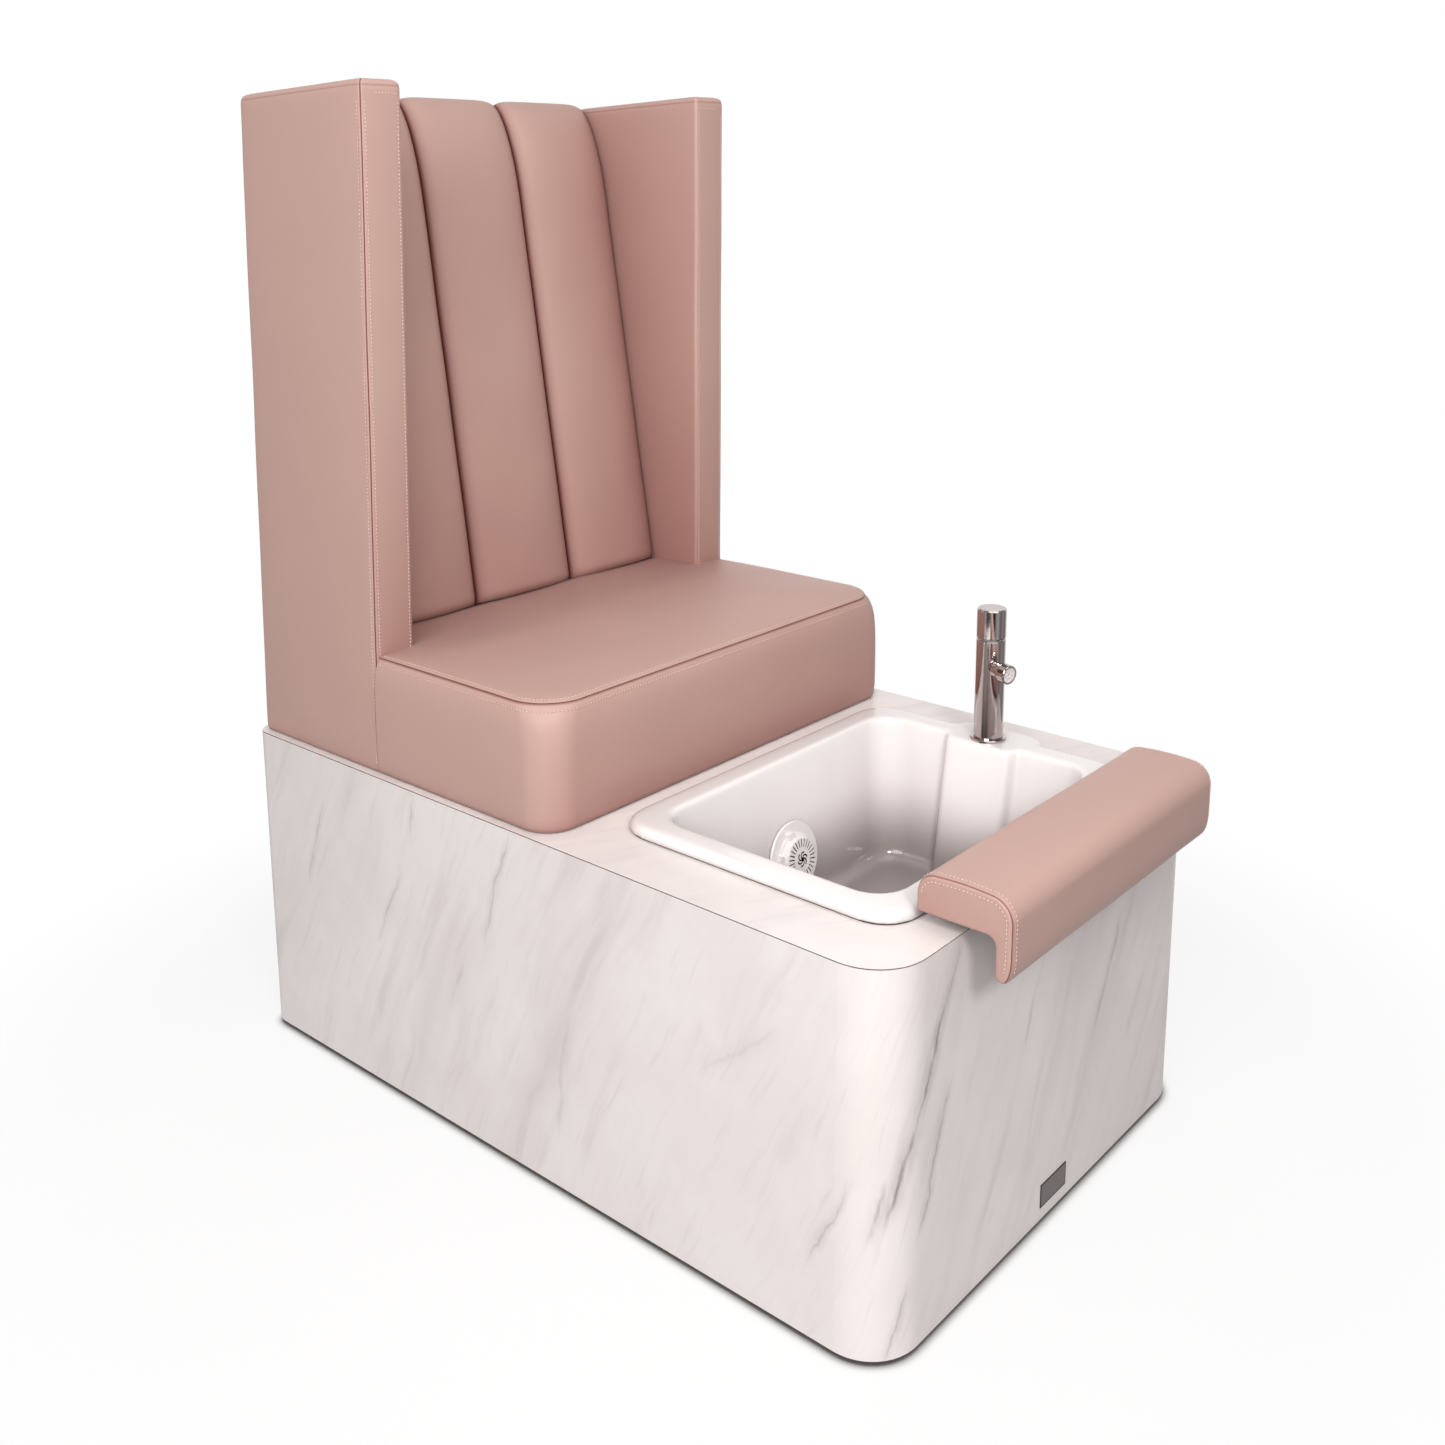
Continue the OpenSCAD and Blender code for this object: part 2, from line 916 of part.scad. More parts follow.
nozzle_l = 24;

module at_nozzle() {
    translate([ball_x, ball_y, spout_z])
        rotate([0, 94, nozzle_turn])
            children();
}

module nozzle_shell() {
    color("#c3bcc0")
        at_nozzle()
            difference() {
                rotate_extrude()
                    polygon([
                        [0, -3], [9.4, -3], [10, -1], [10.2, 3], [10.8, 7], [12.2, 10],
                        [13, 13], [13, nozzle_l - 1], [12.2, nozzle_l], [0, nozzle_l]
                    ]);
                sphere(r = ball_r + snug);
                disc(0, 9, ball_r + snug);
                disc(8, 30, nozzle_bore);
            }
}

module aerator_insert() {
    color("#efeeee")
        at_nozzle()
            difference() {
                disc(9, nozzle_l - 1.5, nozzle_bore - snug);
                for (a = [0 : 60 : 300])
                    rotate([0, 0, a])
                        translate([6, 0, 0])
                            disc(0, 30, 1.6);
                disc(0, 30, 2.4);
            }
}

// a flexible hose: down from the tap, a bend, then back to the rear panel
module hose(x, z) {
    post(x, basin_y, z + bend_r, shank_low + 22, hose_r);
    translate([x, basin_y + bend_r, z + bend_r])
        rotate([-90, 0, -90])
            rotate_extrude(angle = 90)
                translate([bend_r, 0])
                    circle(r = hose_r);
    along_y(x, z, basin_y + bend_r, hose_end, hose_r);
}

module hot_hose() {
    color("#a9abae")
        hose(tap_x - hose_x, hot_z);
}

module cold_hose() {
    color("#a9abae")
        hose(tap_x + hose_x, cold_z);
}

module inlet(x, z) {
    difference() {
        union() {
            along_y(x, z, hose_end - 10, panel_y + panel_t + 2, barrel_r);
            along_y(x, z, panel_y + panel_t, rear_y - 14, thread_r);
            translate([x, hose_end - 4, z])
                rotate([-90, 0, 0])
                    cylinder(h = panel_y - hose_end + 4 - play, r = 15, $fn = 6);
        }
        along_y(x, z, hose_end - 11, hose_end + 0.5, hose_r + snug);
        along_y(x, z, hose_end - 11, rear_y, 4);
    }
}

module inlet_fittings() {
    color("#b9a27a") {
        inlet(tap_x - hose_x, hot_z);
        inlet(tap_x + hose_x, cold_z);
    }
}

module control_box() {
    color("#d8d8d8")
        plate(-250, -90, bulkhead_y + panel_t, bulkhead_y + panel_t + 62, 180, 300);
}

module cable_gland() {
    color("#3b3b3d")
        difference() {
            union() {
                along_y(gland_x, gland_z, panel_y - 12, rear_y - 16, 10);
                translate([gland_x, panel_y + panel_t + play, gland_z])
                    rotate([-90, 0, 0])
                        cylinder(h = 12, r = 14, $fn = 6);
                translate([gland_x, panel_y - 7, gland_z])
                    rotate([-90, 0, 0])
                        cylinder(h = 7 - play, r = 14, $fn = 6);
            }
            along_y(gland_x, gland_z, panel_y - 13, rear_y, 5);
        }
}

// ---- upholstery ----

module upholstery_bolts() {
    color("#8d8f94")
        pair()
            for (p = bolt_xy) {
                post(p[0], p[1], core_low - 5, core_low - play, 8);
                post(p[0], p[1], core_low - 1, plinth_h + 12, bolt_r);
            }
}

seat_ply = 15;

module seat_board() {
    color("#c2a57c")
        difference() {
            plate(30 - seat_half, seat_half - 30, seat_y + 30, wing_y - 12,
                plinth_h, plinth_h + seat_ply);
            bolt_holes(0, plinth_h + seat_ply + 1);
        }
}

module seat_cushion() {
    rb = 6;
    color("#b98d89")
        difference() {
            union() {
                hull() {
                    // the outline at each height: inset, height, change of the corner radius
                    // and inset at the wings
                    for (p = [
                        [3, pad_z, -3, 1.5], [1, pad_z + 6, -1, 0.8], [0, pad_z + 60, 0, 1.2],
                        [2, seam_z - 18, 2, 3.4], [5, seam_z - 6, 6, 5],
                        [10, seam_z + 0.5, 12, 7], [40, seam_z + seat_crown * 0.6, 4, 24],
                        [90, seam_z + seat_crown * 0.95, -16, 55],
                        [125, seam_z + seat_crown, -26, 85]
                    ])
                        level(p[0] - seat_half, seat_half - p[0], seat_y + p[0],
                            wing_y - play - p[3], seat_r + p[2], rb, p[1]);
                }
                plate(play - wing_in + 2, wing_in - 2 - play, wing_y - 8, shell_low_y - 8,
                    pad_z, seam_z);
            }
            plate(29.5 - seat_half, seat_half - 29.5, seat_y + 29.5, wing_y - 11.5,
                plinth_h - 1, plinth_h + seat_ply + play);
        }
}

module wing_board() {
    color("#c2a57c")
        difference() {
            plate(board_x, board_x + 18, wing_y + 16, rear_y - 70, plinth_h, wing_top - 22);
            bolt_holes(0, plinth_h + 14);
        }
}

module wing_board_right() {
    wing_board();
}

module wing_board_left() {
    mirror([1, 0, 0])
        wing_board();
}

// the space behind the back's board, cut out of whatever it passes through
module back_bay() {
    z0 = seam_z + 2;
    a = atan(back_slope);
    translate([play - board_x, back_y(z0) + back_foam - play, z0])
        rotate([-a, 0, 0])
            cube([2 * (board_x - play), 220, (back_top - z0) / cos(a)]);
}

module wing_pad() {
    color("#b98d89")
        difference() {
            hull()
                // height, inset, front edge and rear edge against the wing's foot
                for (p = [
                    [pad_z, 2, 0, 0], [pad_z + 8, 0, 0, 0], [seam_z + 14, 0, 0, -3],
                    [wing_top - 30, 0, -14, -16],
                    [wing_top - 5, 3, -13, -100], [wing_top, 9, -10, -170]
                ]) {
                    s = wing_shift(p[0]);
                    level(wing_in - s + p[1], wing_half - s - p[1], wing_y + p[2] + p[1],
                        wing_y + wing_l + p[3] - p[1], 10, 12, p[0] - 0.2);
                }
            plate(board_x - play, board_x + 18 + play, wing_y + 15.5, rear_y - 69.5,
                plinth_h - 1, wing_top - 21.5);
            back_bay();
        }
}

module wing_pad_right() {
    wing_pad();
}

module wing_pad_left() {
    mirror([1, 0, 0])
        wing_pad();
}

module back_board() {
    z0 = seam_z + 2 + play;
    a = atan(back_slope);
    color("#c2a57c")
        translate([2 * play - board_x, back_y(z0) + back_foam, z0])
            rotate([-a, 0, 0])
                cube([2 * (board_x - 2 * play), back_t, (back_top - z0) / cos(a) - 2]);
}

module outside_back() {
    h = wing_top - 28 - pad_z;
    a = atan((shell_low_y - shell_high_y) / h);
    w = wing_in - wing_lean - 1;
    color("#a97f7b")
        translate([-w, shell_low_y, pad_z])
            rotate([a, 0, 0])
                cube([2 * w, shell_t, h - 18]);
}

// one level of a channel: arch-shaped in front, flat behind
module arch(x0, x1, y, depth, foam, z) {
    n = 8;
    translate([0, 0, z - 0.2])
        linear_extrude(0.2)
            polygon(concat(
                [for (i = [0 : n]) [
                    x0 + (x1 - x0) * i / n,
                    y - depth * pow(sin(180 * i / n), 0.55)
                ]],
                [[x1, y + foam], [x0, y + foam]]
            ));
}

module back_cushion() {
    z0 = seam_z + 2 + play;
    color("#b98d89")
        for (k = [-1 : 1]) {
            hull()
                // in front of the board: height, loss of the channel's depth, distance rolled back
                for (p = [
                    [z0, 6, 0], [z0 + 12, 0, 0], [roll_z, 0, 0], [back_top + 1, 0, 4]
                ])
                    channel(k, p[0], back_y(p[0]) + p[2], channel_depth - p[1],
                        back_foam - play - p[2]);
            hull()
                // over the board's top, with its reach to the rear
                for (p = [
                    [back_top + play, 0, 4, 29], [wing_top - 56, 2, 9, 22],
                    [wing_top - 27, 6, 17, 18], [wing_top - 12, 9, 25, 6],
                    [wing_top - 4, 15, 28, 3]
                ])
                    channel(k, p[0], back_y(p[0]) + p[2], channel_depth - p[1], p[3]);
        }
}

module channel(k, z, y, depth, foam) {
    w = 2 * back_half(z) / 3;
    arch(k * w - w / 2 - play, k * w + w / 2 + play, y, depth, foam, z);
}

// ---- footrest ----

module footrest_board() {
    color("#2c2a2c")
        difference() {
            plate(16 - rest_half, rest_half - 16, rest_front + 16, rest_back - 12,
                rest_low, rest_low + rest_ply);
            pair()
                post(peg_x, peg_y, 0, rest_top, peg_r + snug);
        }
}

// the pad's section, front to rear and bottom to top: an arc for each rounded corner
module rest_section() {
    lo = plinth_h - rest_drop;
    under = rest_low + play;
    nose = 26;
    heel = 24;
    // the lip's foot: a long round outside and a short one inside
    toe_d = 11;
    toe_h = 30;
    toe = 9;
    polygon(concat(
        [for (a = [180 : 15 : 270]) [
            rest_front + toe_d + toe_d * cos(a), lo + toe_h + toe_h * sin(a)
        ]],
        [for (a = [270 : 15 : 360]) [leg_in - toe + toe * cos(a), lo + toe + toe * sin(a)]],
        [[leg_in, under - 8], [leg_in + 2.5, under - 2.5], [leg_in + 8, under]],
        [[rest_back - 3, under], [rest_back - 0.8, under + 1.5], [rest_back, under + 5]],
        [for (a = [0 : 15 : 75]) [
            rest_back - heel + heel * cos(a), rest_top - 1.2 - heel + heel * sin(a)
        ]],
        [[(rest_front + rest_back) / 2, rest_top]],
        [for (a = [105 : 12.5 : 180]) [
            rest_front + nose + nose * cos(a), rest_top - 1.2 - nose + nose * sin(a)
        ]]
    ));
}

module footrest_cushion() {
    color("#b98d89")
        difference() {
            intersection() {
                translate([-rest_half, 0, 0])
                    rotate([90, 0, 90])
                        linear_extrude(rest_l)
                            rest_section();
                hull()
                    // inset and height of the ends
                    for (p = [
                        [3, plinth_h - rest_drop - 1], [0, plinth_h - rest_drop + 10],
                        [0, rest_top - 16], [2, rest_top - 6], [7, rest_top + 0.5]
                    ])
                        level(p[0] - rest_half, rest_half - p[0], rest_front - 6,
                            rest_back + 6, 12, 12, p[1]);
            }
            plate(15.5 - rest_half, rest_half - 15.5, rest_front + 15.5, rest_back - 11.5,
                rest_low - play, rest_low + rest_ply + play);
        }
}

module footrest_pegs() {
    color("#b9bbbf")
        pair() {
            post(peg_x, peg_y, core_low + 4, rest_low + rest_ply - 1, peg_r);
            post(peg_x, peg_y, plinth_h + 1.5, rest_low - play, collar_r);
        }
}

module peg_sockets() {
    color("#3b3b3d")
        pair()
            difference() {
                union() {
                    post(peg_x, peg_y, core_low, plinth_h + 1, peg_r + 2);
                    post(peg_x, peg_y, plinth_h, plinth_h + 1.5, collar_r);
                }
                post(peg_x, peg_y, core_low + 2, rest_top, peg_r + run);
            }
}

base_board();
side_panels();
front_panel();
front_corners();
rear_stiles();
rear_battens();
seat_bulkhead();
deck_core();
deck_laminate();
laminate_wrap();
rear_panel();
rear_panel_screws();
levelling_feet();
badge_plate();
seat_board();
seat_cushion();
wing_board_left();
wing_board_right();
wing_pad_left();
wing_pad_right();
back_board();
back_cushion();
outside_back();
upholstery_bolts();
basin();
basin_seal();
waste_body();
waste_nut();
waste_plug();
trap();
waste_pipe();
jet_body();
jet_gasket();
jet_nut();
jet_shaft();
jet_impeller();
jet_cover();
motor_case();
motor_stator();
motor_rotor();
tap_base_ring();
tap_body();
tap_nut();
cartridge_body();
cartridge_spindle();
tap_handle();
handle_screw();
nozzle_stud();
nozzle_shell();
aerator_insert();
hot_hose();
cold_hose();
inlet_fittings();
control_box();
cable_gland();
footrest_board();
footrest_cushion();
footrest_pegs();
peg_sockets();
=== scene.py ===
# Pedicure spa chair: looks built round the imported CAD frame. Metres, +Z up, the client's feet
# point to -Y. The covers' shapes are worked out in mm and scaled in piece().
import json
import math

import bpy
import numpy as np
from mathutils import Matrix, Vector
from mathutils.geometry import tessellate_polygon


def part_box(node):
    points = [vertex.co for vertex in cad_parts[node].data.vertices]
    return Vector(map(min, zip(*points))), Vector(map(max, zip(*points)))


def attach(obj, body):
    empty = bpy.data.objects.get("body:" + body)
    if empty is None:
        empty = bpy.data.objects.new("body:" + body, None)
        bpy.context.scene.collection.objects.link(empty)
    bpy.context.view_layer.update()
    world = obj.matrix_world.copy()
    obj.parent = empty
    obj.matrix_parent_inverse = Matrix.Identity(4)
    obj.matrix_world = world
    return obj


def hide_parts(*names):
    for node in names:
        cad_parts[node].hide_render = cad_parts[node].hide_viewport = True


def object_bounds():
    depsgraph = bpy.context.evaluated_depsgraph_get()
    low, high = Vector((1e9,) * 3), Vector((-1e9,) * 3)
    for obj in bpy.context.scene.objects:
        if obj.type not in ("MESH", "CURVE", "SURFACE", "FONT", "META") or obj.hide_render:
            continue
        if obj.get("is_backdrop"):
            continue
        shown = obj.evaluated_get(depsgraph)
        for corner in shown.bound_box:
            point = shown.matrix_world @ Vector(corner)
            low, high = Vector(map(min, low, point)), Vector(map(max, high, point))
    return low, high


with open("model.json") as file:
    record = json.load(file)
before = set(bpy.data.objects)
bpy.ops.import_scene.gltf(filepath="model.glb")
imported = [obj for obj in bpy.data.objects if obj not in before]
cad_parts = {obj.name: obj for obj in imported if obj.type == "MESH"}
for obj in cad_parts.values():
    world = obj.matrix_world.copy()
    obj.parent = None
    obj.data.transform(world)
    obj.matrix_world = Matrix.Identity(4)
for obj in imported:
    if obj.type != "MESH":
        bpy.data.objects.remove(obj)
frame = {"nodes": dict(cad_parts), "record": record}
nodes = frame["nodes"]
scene = bpy.context.scene
MM = 0.001


def write_size(when, sizes={}):
    lo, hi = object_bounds()
    sizes[when] = [round(h - l, 5) for l, h in zip(lo, hi)]


write_size("cad")

# ------------------------------------------------------------------ node helpers


class Nodes:
    """Short forms for the nodes of one tree."""

    def __init__(self, tree):
        self.tree = tree

    def node(self, kind, **props):
        n = self.tree.nodes.new(kind)
        for key, value in props.items():
            setattr(n, key, value)
        return n

    def link(self, a, b):
        self.tree.links.new(a, b)

    def feed(self, socket, value):
        if isinstance(value, bpy.types.NodeSocket):
            self.link(value, socket)
        else:
            socket.default_value = value

    def fed(self, n, *values):
        """Feed a node's first sockets and give its first output."""
        for i, value in enumerate(values):
            self.feed(n.inputs[i], value)
        return n.outputs[0]

    def math(self, op, *values, clamp=False):
        return self.fed(self.node("ShaderNodeMath", operation=op, use_clamp=clamp), *values)

    def plus(self, a, b):
        return self.math("ADD", a, b)

    def minus(self, a, b):
        return self.math("SUBTRACT", a, b)

    def times(self, a, *factors):
        for b in factors:
            a = self.math("MULTIPLY", a, b)
        return a

    def above(self, a, limit):
        return self.math("GREATER_THAN", a, limit)

    def below(self, a, limit):
        return self.math("LESS_THAN", a, limit)

    def larger(self, a, b):
        return self.math("MAXIMUM", a, b)

    def ramp(self, value, a, b, lo=0.0, hi=1.0):
        n = self.node("ShaderNodeMapRange", interpolation_type="SMOOTHSTEP")
        return self.fed(n, value, a, b, lo, hi)

    def split(self, vector):
        n = self.node("ShaderNodeSeparateXYZ")
        self.link(vector, n.inputs[0])
        return n.outputs

    def join(self, x, y, z):
        return self.fed(self.node("ShaderNodeCombineXYZ"), x, y, z)

    def mix(self, a, b, t, blend="MIX"):
        n = self.node("ShaderNodeMix", data_type="RGBA", blend_type=blend)
        for i, value in ((0, t), (6, a), (7, b)):
            self.feed(n.inputs[i], value)
        return n.outputs[2]

    def mix_shader(self, t, a, b):
        return self.fed(self.node("ShaderNodeMixShader"), t, a, b)

    def noise(self, vector, scale, detail=2.0, rough=0.5):
        n = self.node("ShaderNodeTexNoise")
        self.link(vector, n.inputs["Vector"])
        for key, value in (("Scale", scale), ("Detail", detail), ("Roughness", rough)):
            n.inputs[key].default_value = value
        return n.outputs["Fac"]

    def open_sky(self, reach, samples):
        """1 where nothing stands within reach of the surface, towards 0 in closed corners."""
        n = self.node("ShaderNodeAmbientOcclusion", samples=samples)
        n.inputs["Distance"].default_value = reach
        return n.outputs["AO"]


class Graph(Nodes):
    """One material, with short forms for its Principled BSDF."""

    def __init__(self, name):
        self.mat = bpy.data.materials.new(name)
        self.mat.use_nodes = True
        super().__init__(self.mat.node_tree)
        self.bsdf = self.tree.nodes["Principled BSDF"]

    def place(self):
        return self.node("ShaderNodeTexCoord").outputs["Object"]

    def bump(self, height, strength, distance):
        n = self.node("ShaderNodeBump")
        self.link(height, n.inputs["Height"])
        n.inputs["Strength"].default_value = strength
        n.inputs["Distance"].default_value = distance
        self.link(n.outputs[0], self.bsdf.inputs["Normal"])

    def shaded(self, base, reach, least, warmth):
        """Painted shade: the base colour darker, and redder by warmth, where the surface is closed in,
        standing in for a room's low light there.
        """
        keep = self.plus(self.times(self.open_sky(reach, 8), 1.0 - least), least)
        cool = self.math("POWER", keep, warmth)
        return self.mix(base, self.join(keep, cool, cool), 1.0, "MULTIPLY")

    def set(self, **values):
        for key, value in values.items():
            self.feed(self.bsdf.inputs[key.replace("_", " ")], value)
        return self.mat


def linear(r, g, b):
    """sRGB 0-255 to the linear colour a socket takes."""
    out = []
    for c in (r, g, b):
        c = c / 255
        out.append(c / 12.92 if c <= 0.04045 else ((c + 0.055) / 1.055) ** 2.4)
    return (*out, 1.0)


# ------------------------------------------------------------------ materials


def plain(name, rgb, rough, metal=0.0, grain=0.03, grain_scale=60.0):
    """A simple finish with a little procedural unevenness in its colour and gloss."""
    g = Graph(name)
    n = g.noise(g.place(), grain_scale, 3.0)
    base = linear(*rgb)
    dark = tuple(c * (1 - grain * 2) for c in base[:3]) + (1.0,)
    gloss = g.ramp(n, 0.2, 0.8, rough * 0.9, min(rough * 1.1, 1.0))
    return g.set(Base_Color=g.mix(dark, base, n), Roughness=gloss, Metallic=metal)


def leather():
    """Rose leatherette with a fine grain; dark where the covers' per-point attribute marks a seam's
    line and painted shade in its crease, and with painted shade where closed in.
    """
    g = Graph("rose_leather")
    p = g.place()
    seam = g.node("ShaderNodeAttribute", attribute_name="seam").outputs["Fac"]
    broad = g.noise(p, 7.0)
    fine = g.noise(p, 900.0, 2.0, 0.6)
    base = g.mix(linear(198, 163, 153), linear(204, 169, 159), broad)
    base = g.mix(base, linear(184, 149, 139), g.ramp(fine, 0.55, 0.8, 0.0, 0.35))
    # the seam marks darken the leather, then painted shade darkens and reddens it where it is closed
    # in
    base = g.shaded(g.mix(base, linear(112, 50, 44), seam), 0.36, 0.42, 1.4)
    cell = g.node("ShaderNodeTexVoronoi", feature="SMOOTH_F1")
    g.link(p, cell.inputs["Vector"])
    cell.inputs["Scale"].default_value = 1100.0
    g.bump(g.plus(cell.outputs["Distance"], g.times(fine, 0.5)), 0.18, 0.0004)
    # the creases keep the leather's red brown instead of a grey gloss
    dry = g.minus(1.0, seam)
    return g.set(
        Base_Color=base,
        Roughness=g.ramp(fine, 0.3, 0.7, 0.47, 0.56),
        Specular_IOR_Level=g.times(dry, 0.38),
        Sheen_Weight=g.times(dry, 0.06),
        Sheen_Roughness=0.5,
    )


# placed veins on the walls: way round the plinth and height of both ends, half width, strength
VEINS = (
    (0.206, 0.27, 0.262, 0.39, 0.020, 0.85),
    (0.160, 0.17, 0.206, 0.27, 0.023, 0.85),
    (0.262, 0.38, 0.285, 0.45, 0.012, 0.45),
    (0.138, 0.15, 0.158, 0.21, 0.024, 0.55),
    (0.214, 0.14, 0.270, 0.28, 0.013, 0.60),
    (0.593, 0.19, 0.646, 0.32, 0.012, 0.50),
    (0.426, 0.25, 0.437, 0.30, 0.008, 0.55),
    (0.690, 0.15, 0.722, 0.22, 0.016, 0.30),
    (-0.582, 0.38, -0.575, 0.44, 0.010, 0.35),
    (-0.656, 0.22, -0.610, 0.32, 0.009, 0.45),
    (-0.446, 0.29, -0.392, 0.44, 0.011, 0.40),
    (-0.812, 0.25, -0.770, 0.38, 0.012, 0.32),
    (0.060, 0.10, 0.102, 0.20, 0.010, 0.50),
    (0.165, 0.01, 0.195, 0.08, 0.016, 0.60),
    (-0.320, 0.08, -0.296, 0.24, 0.026, 0.22),
    (-0.508, 0.18, -0.484, 0.25, 0.020, 0.22),
    (-0.080, 0.26, 0.012, 0.34, 0.030, 0.18),
)
# sine and cosine of the deck's streaks to the chair's length, and the walls' lean per height
DECK_SIN, DECK_COS, WALL_LEAN = 0.45, 0.89, 0.45
LAMINATE_EDGE_Z = 0.44575


def marble():
    """White laminate with soft grey streaks that lean the same way round the plinth's corners."""
    g = Graph("marble_laminate")
    p = g.place()
    x, y, z = g.split(p)
    normal = g.node("ShaderNodeNewGeometry").outputs["True Normal"]
    up = g.math("ABSOLUTE", g.split(normal)[2])
    flat = g.above(up, 0.7)
    wall = g.minus(1.0, flat)
    # on a wall: way round the plinth and height; on the deck: across and along its own streaks
    way = g.minus(x, y)
    wall_s = g.minus(way, g.times(z, WALL_LEAN))
    deck_s = g.plus(g.times(x, DECK_SIN), g.times(y, DECK_COS))
    deck_t = g.minus(g.times(x, DECK_COS), g.times(y, DECK_SIN))

    def either(on_wall, on_deck):
        n = g.node("ShaderNodeMix", data_type="FLOAT")
        for i, v in ((0, flat), (2, on_wall), (3, on_deck)):
            g.link(v, n.inputs[i])
        return n.outputs[0]

    s0, t = either(wall_s, deck_s), either(z, deck_t)
    drift = g.minus(g.noise(g.join(s0, t, 0.0), 2.6, 3.0, 0.55), 0.5)
    s = g.plus(s0, g.times(drift, 0.10))

    def streaked(across, along, seed, detail=4.0, rough=0.55):
        return g.noise(g.join(g.times(s, across), g.times(t, along), seed), 1.0, detail, rough)

    broad = streaked(9.0, 1.6, 3.0, 3.0)
    middle = streaked(34.0, 4.0, 8.0)
    fine = streaked(110.0, 9.0, 5.0, 3.0)
    cloud = g.noise(p, 5.0, 4.0, 0.6)
    base = g.mix(linear(247, 241, 239), linear(241, 234, 232), g.ramp(cloud, 0.35, 0.65))
    base = g.mix(base, linear(223, 215, 213), g.ramp(broad, 0.50, 0.76, 0.0, 0.55))
    grey = g.times(g.ramp(middle, 0.5, 0.78), g.ramp(broad, 0.36, 0.62, 0.12, 0.55))
    base = g.mix(base, linear(212, 203, 203), grey)
    base = g.mix(base, linear(220, 212, 211), g.ramp(fine, 0.55, 0.8, 0.0, 0.4))
    wander = g.times(g.minus(g.noise(g.join(way, z, 2.0), 9.0, 4.0, 0.6), 0.5), 0.036)
    ragged = g.noise(g.join(g.times(way, 60.0), g.times(z, 14.0), 1.0), 1.0, 3.0, 0.6)
    across = g.plus(way, wander)
    for u_low, z_low, u_high, z_high, width, strength in VEINS:
        lean = (u_high - u_low) / (z_high - z_low)
        middle_line = g.plus(g.times(z, lean), u_low - z_low * lean)
        d = g.math("ABSOLUTE", g.minus(across, middle_line))
        begins = g.ramp(z, z_low - 0.02, z_low + 0.03)
        stops = g.ramp(z, z_high - 0.03, z_high + 0.02, 1.0, 0.0)
        shape = g.plus(g.ramp(d, 0.0, width, 0.42, 0.0), g.ramp(d, 0.0, width * 0.22, 0.58, 0.0))
        shape = g.times(shape, g.times(begins, stops), g.ramp(ragged, 0.3, 0.62, 0.4, 1.0))
        base = g.mix(base, linear(128, 118, 121), g.times(shape, strength, wall))
    # the laminate's brown-black edge shows as a thin line round the deck
    edge = g.times(g.above(z, LAMINATE_EDGE_Z), g.below(up, 0.5))
    base = g.mix(base, linear(112, 100, 100), edge)
    return g.set(
        Base_Color=base, Roughness=g.ramp(cloud, 0.3, 0.7, 0.28, 0.36), Specular_IOR_Level=0.42
    )


def ceramic():
    """White glaze with painted shade: greyer below the rim, darker towards the bowl's floor, and
    darker where closed in.
    """
    g = Graph("white_ceramic")
    p = g.place()
    z = g.split(p)[2]
    base = g.mix(linear(249, 246, 245), linear(252, 249, 248), g.noise(p, 5.0))
    # painted shade down the bowl: greyer below the rim, much darker towards the floor
    base = g.mix(base, linear(243, 238, 237), g.ramp(z, 0.36, 0.452, 1.0, 0.0))
    base = g.mix(base, linear(164, 156, 154), g.ramp(z, 0.276, 0.39, 1.0, 0.0))
    # painted shade where the glaze is closed in
    base = g.shaded(base, 0.14, 0.50, 1.08)
    return g.set(Base_Color=base, Roughness=0.14, Coat_Weight=0.4, Coat_Roughness=0.05)


def rubber():
    """Dark rubber. The seal's tab is white, for its square corners look out under the basin's rim."""
    g = Graph("dark_rubber")
    at = g.split(g.place())
    tab = g.times(g.above(at[0], 0.27), g.above(at[2], 0.44))
    return g.set(Base_Color=g.mix(linear(58, 50, 52), linear(243, 238, 237), tab), Roughness=0.8)


# the jet cover's flange: its middle, and its axis out of the tilted rear wall
JET_AT = (0.0, -0.111273, 0.333)
JET_AXIS = (0.0, -math.cos(math.radians(9)), math.sin(math.radians(9)))


def jet_plastic():
    """White plastic with painted shade: black inside the jet, behind its grille."""
    g = Graph("jet_plastic_shade_inside")
    p = g.place()
    base = g.mix(linear(236, 232, 231), linear(243, 240, 239), g.noise(p, 80.0))
    d = g.node("ShaderNodeVectorMath", operation="SUBTRACT")
    g.link(p, d.inputs[0])
    d.inputs[1].default_value = JET_AT
    along = g.node("ShaderNodeVectorMath", operation="DOT_PRODUCT")
    g.link(d.outputs[0], along.inputs[0])
    along.inputs[1].default_value = JET_AXIS
    depth = along.outputs["Value"]
    length = g.node("ShaderNodeVectorMath", operation="LENGTH")
    g.link(d.outputs[0], length.inputs[0])
    size = length.outputs["Value"]
    across = g.math("SQRT", g.minus(g.times(size, size), g.times(depth, depth)))
    # the cover's face is a little domed; all under it within the grille is painted black as the shade
    # in the jet's hollow
    face = g.minus(0.0182, g.times(across, 0.037))
    slots = g.times(g.below(depth, face), g.below(across, 0.0267))
    hollow = g.times(g.below(depth, 0.0166), g.below(across, 0.0279))
    base = g.mix(base, linear(16, 14, 14), g.larger(slots, hollow))
    return g.set(Base_Color=base, Roughness=0.3)


def chrome():
    g = Graph("chrome")
    n = g.noise(g.place(), 40.0)
    base = g.mix(linear(190, 181, 180), linear(200, 191, 190), n)
    return g.set(Base_Color=base, Roughness=g.ramp(n, 0.2, 0.8, 0.06, 0.09), Metallic=1.0)


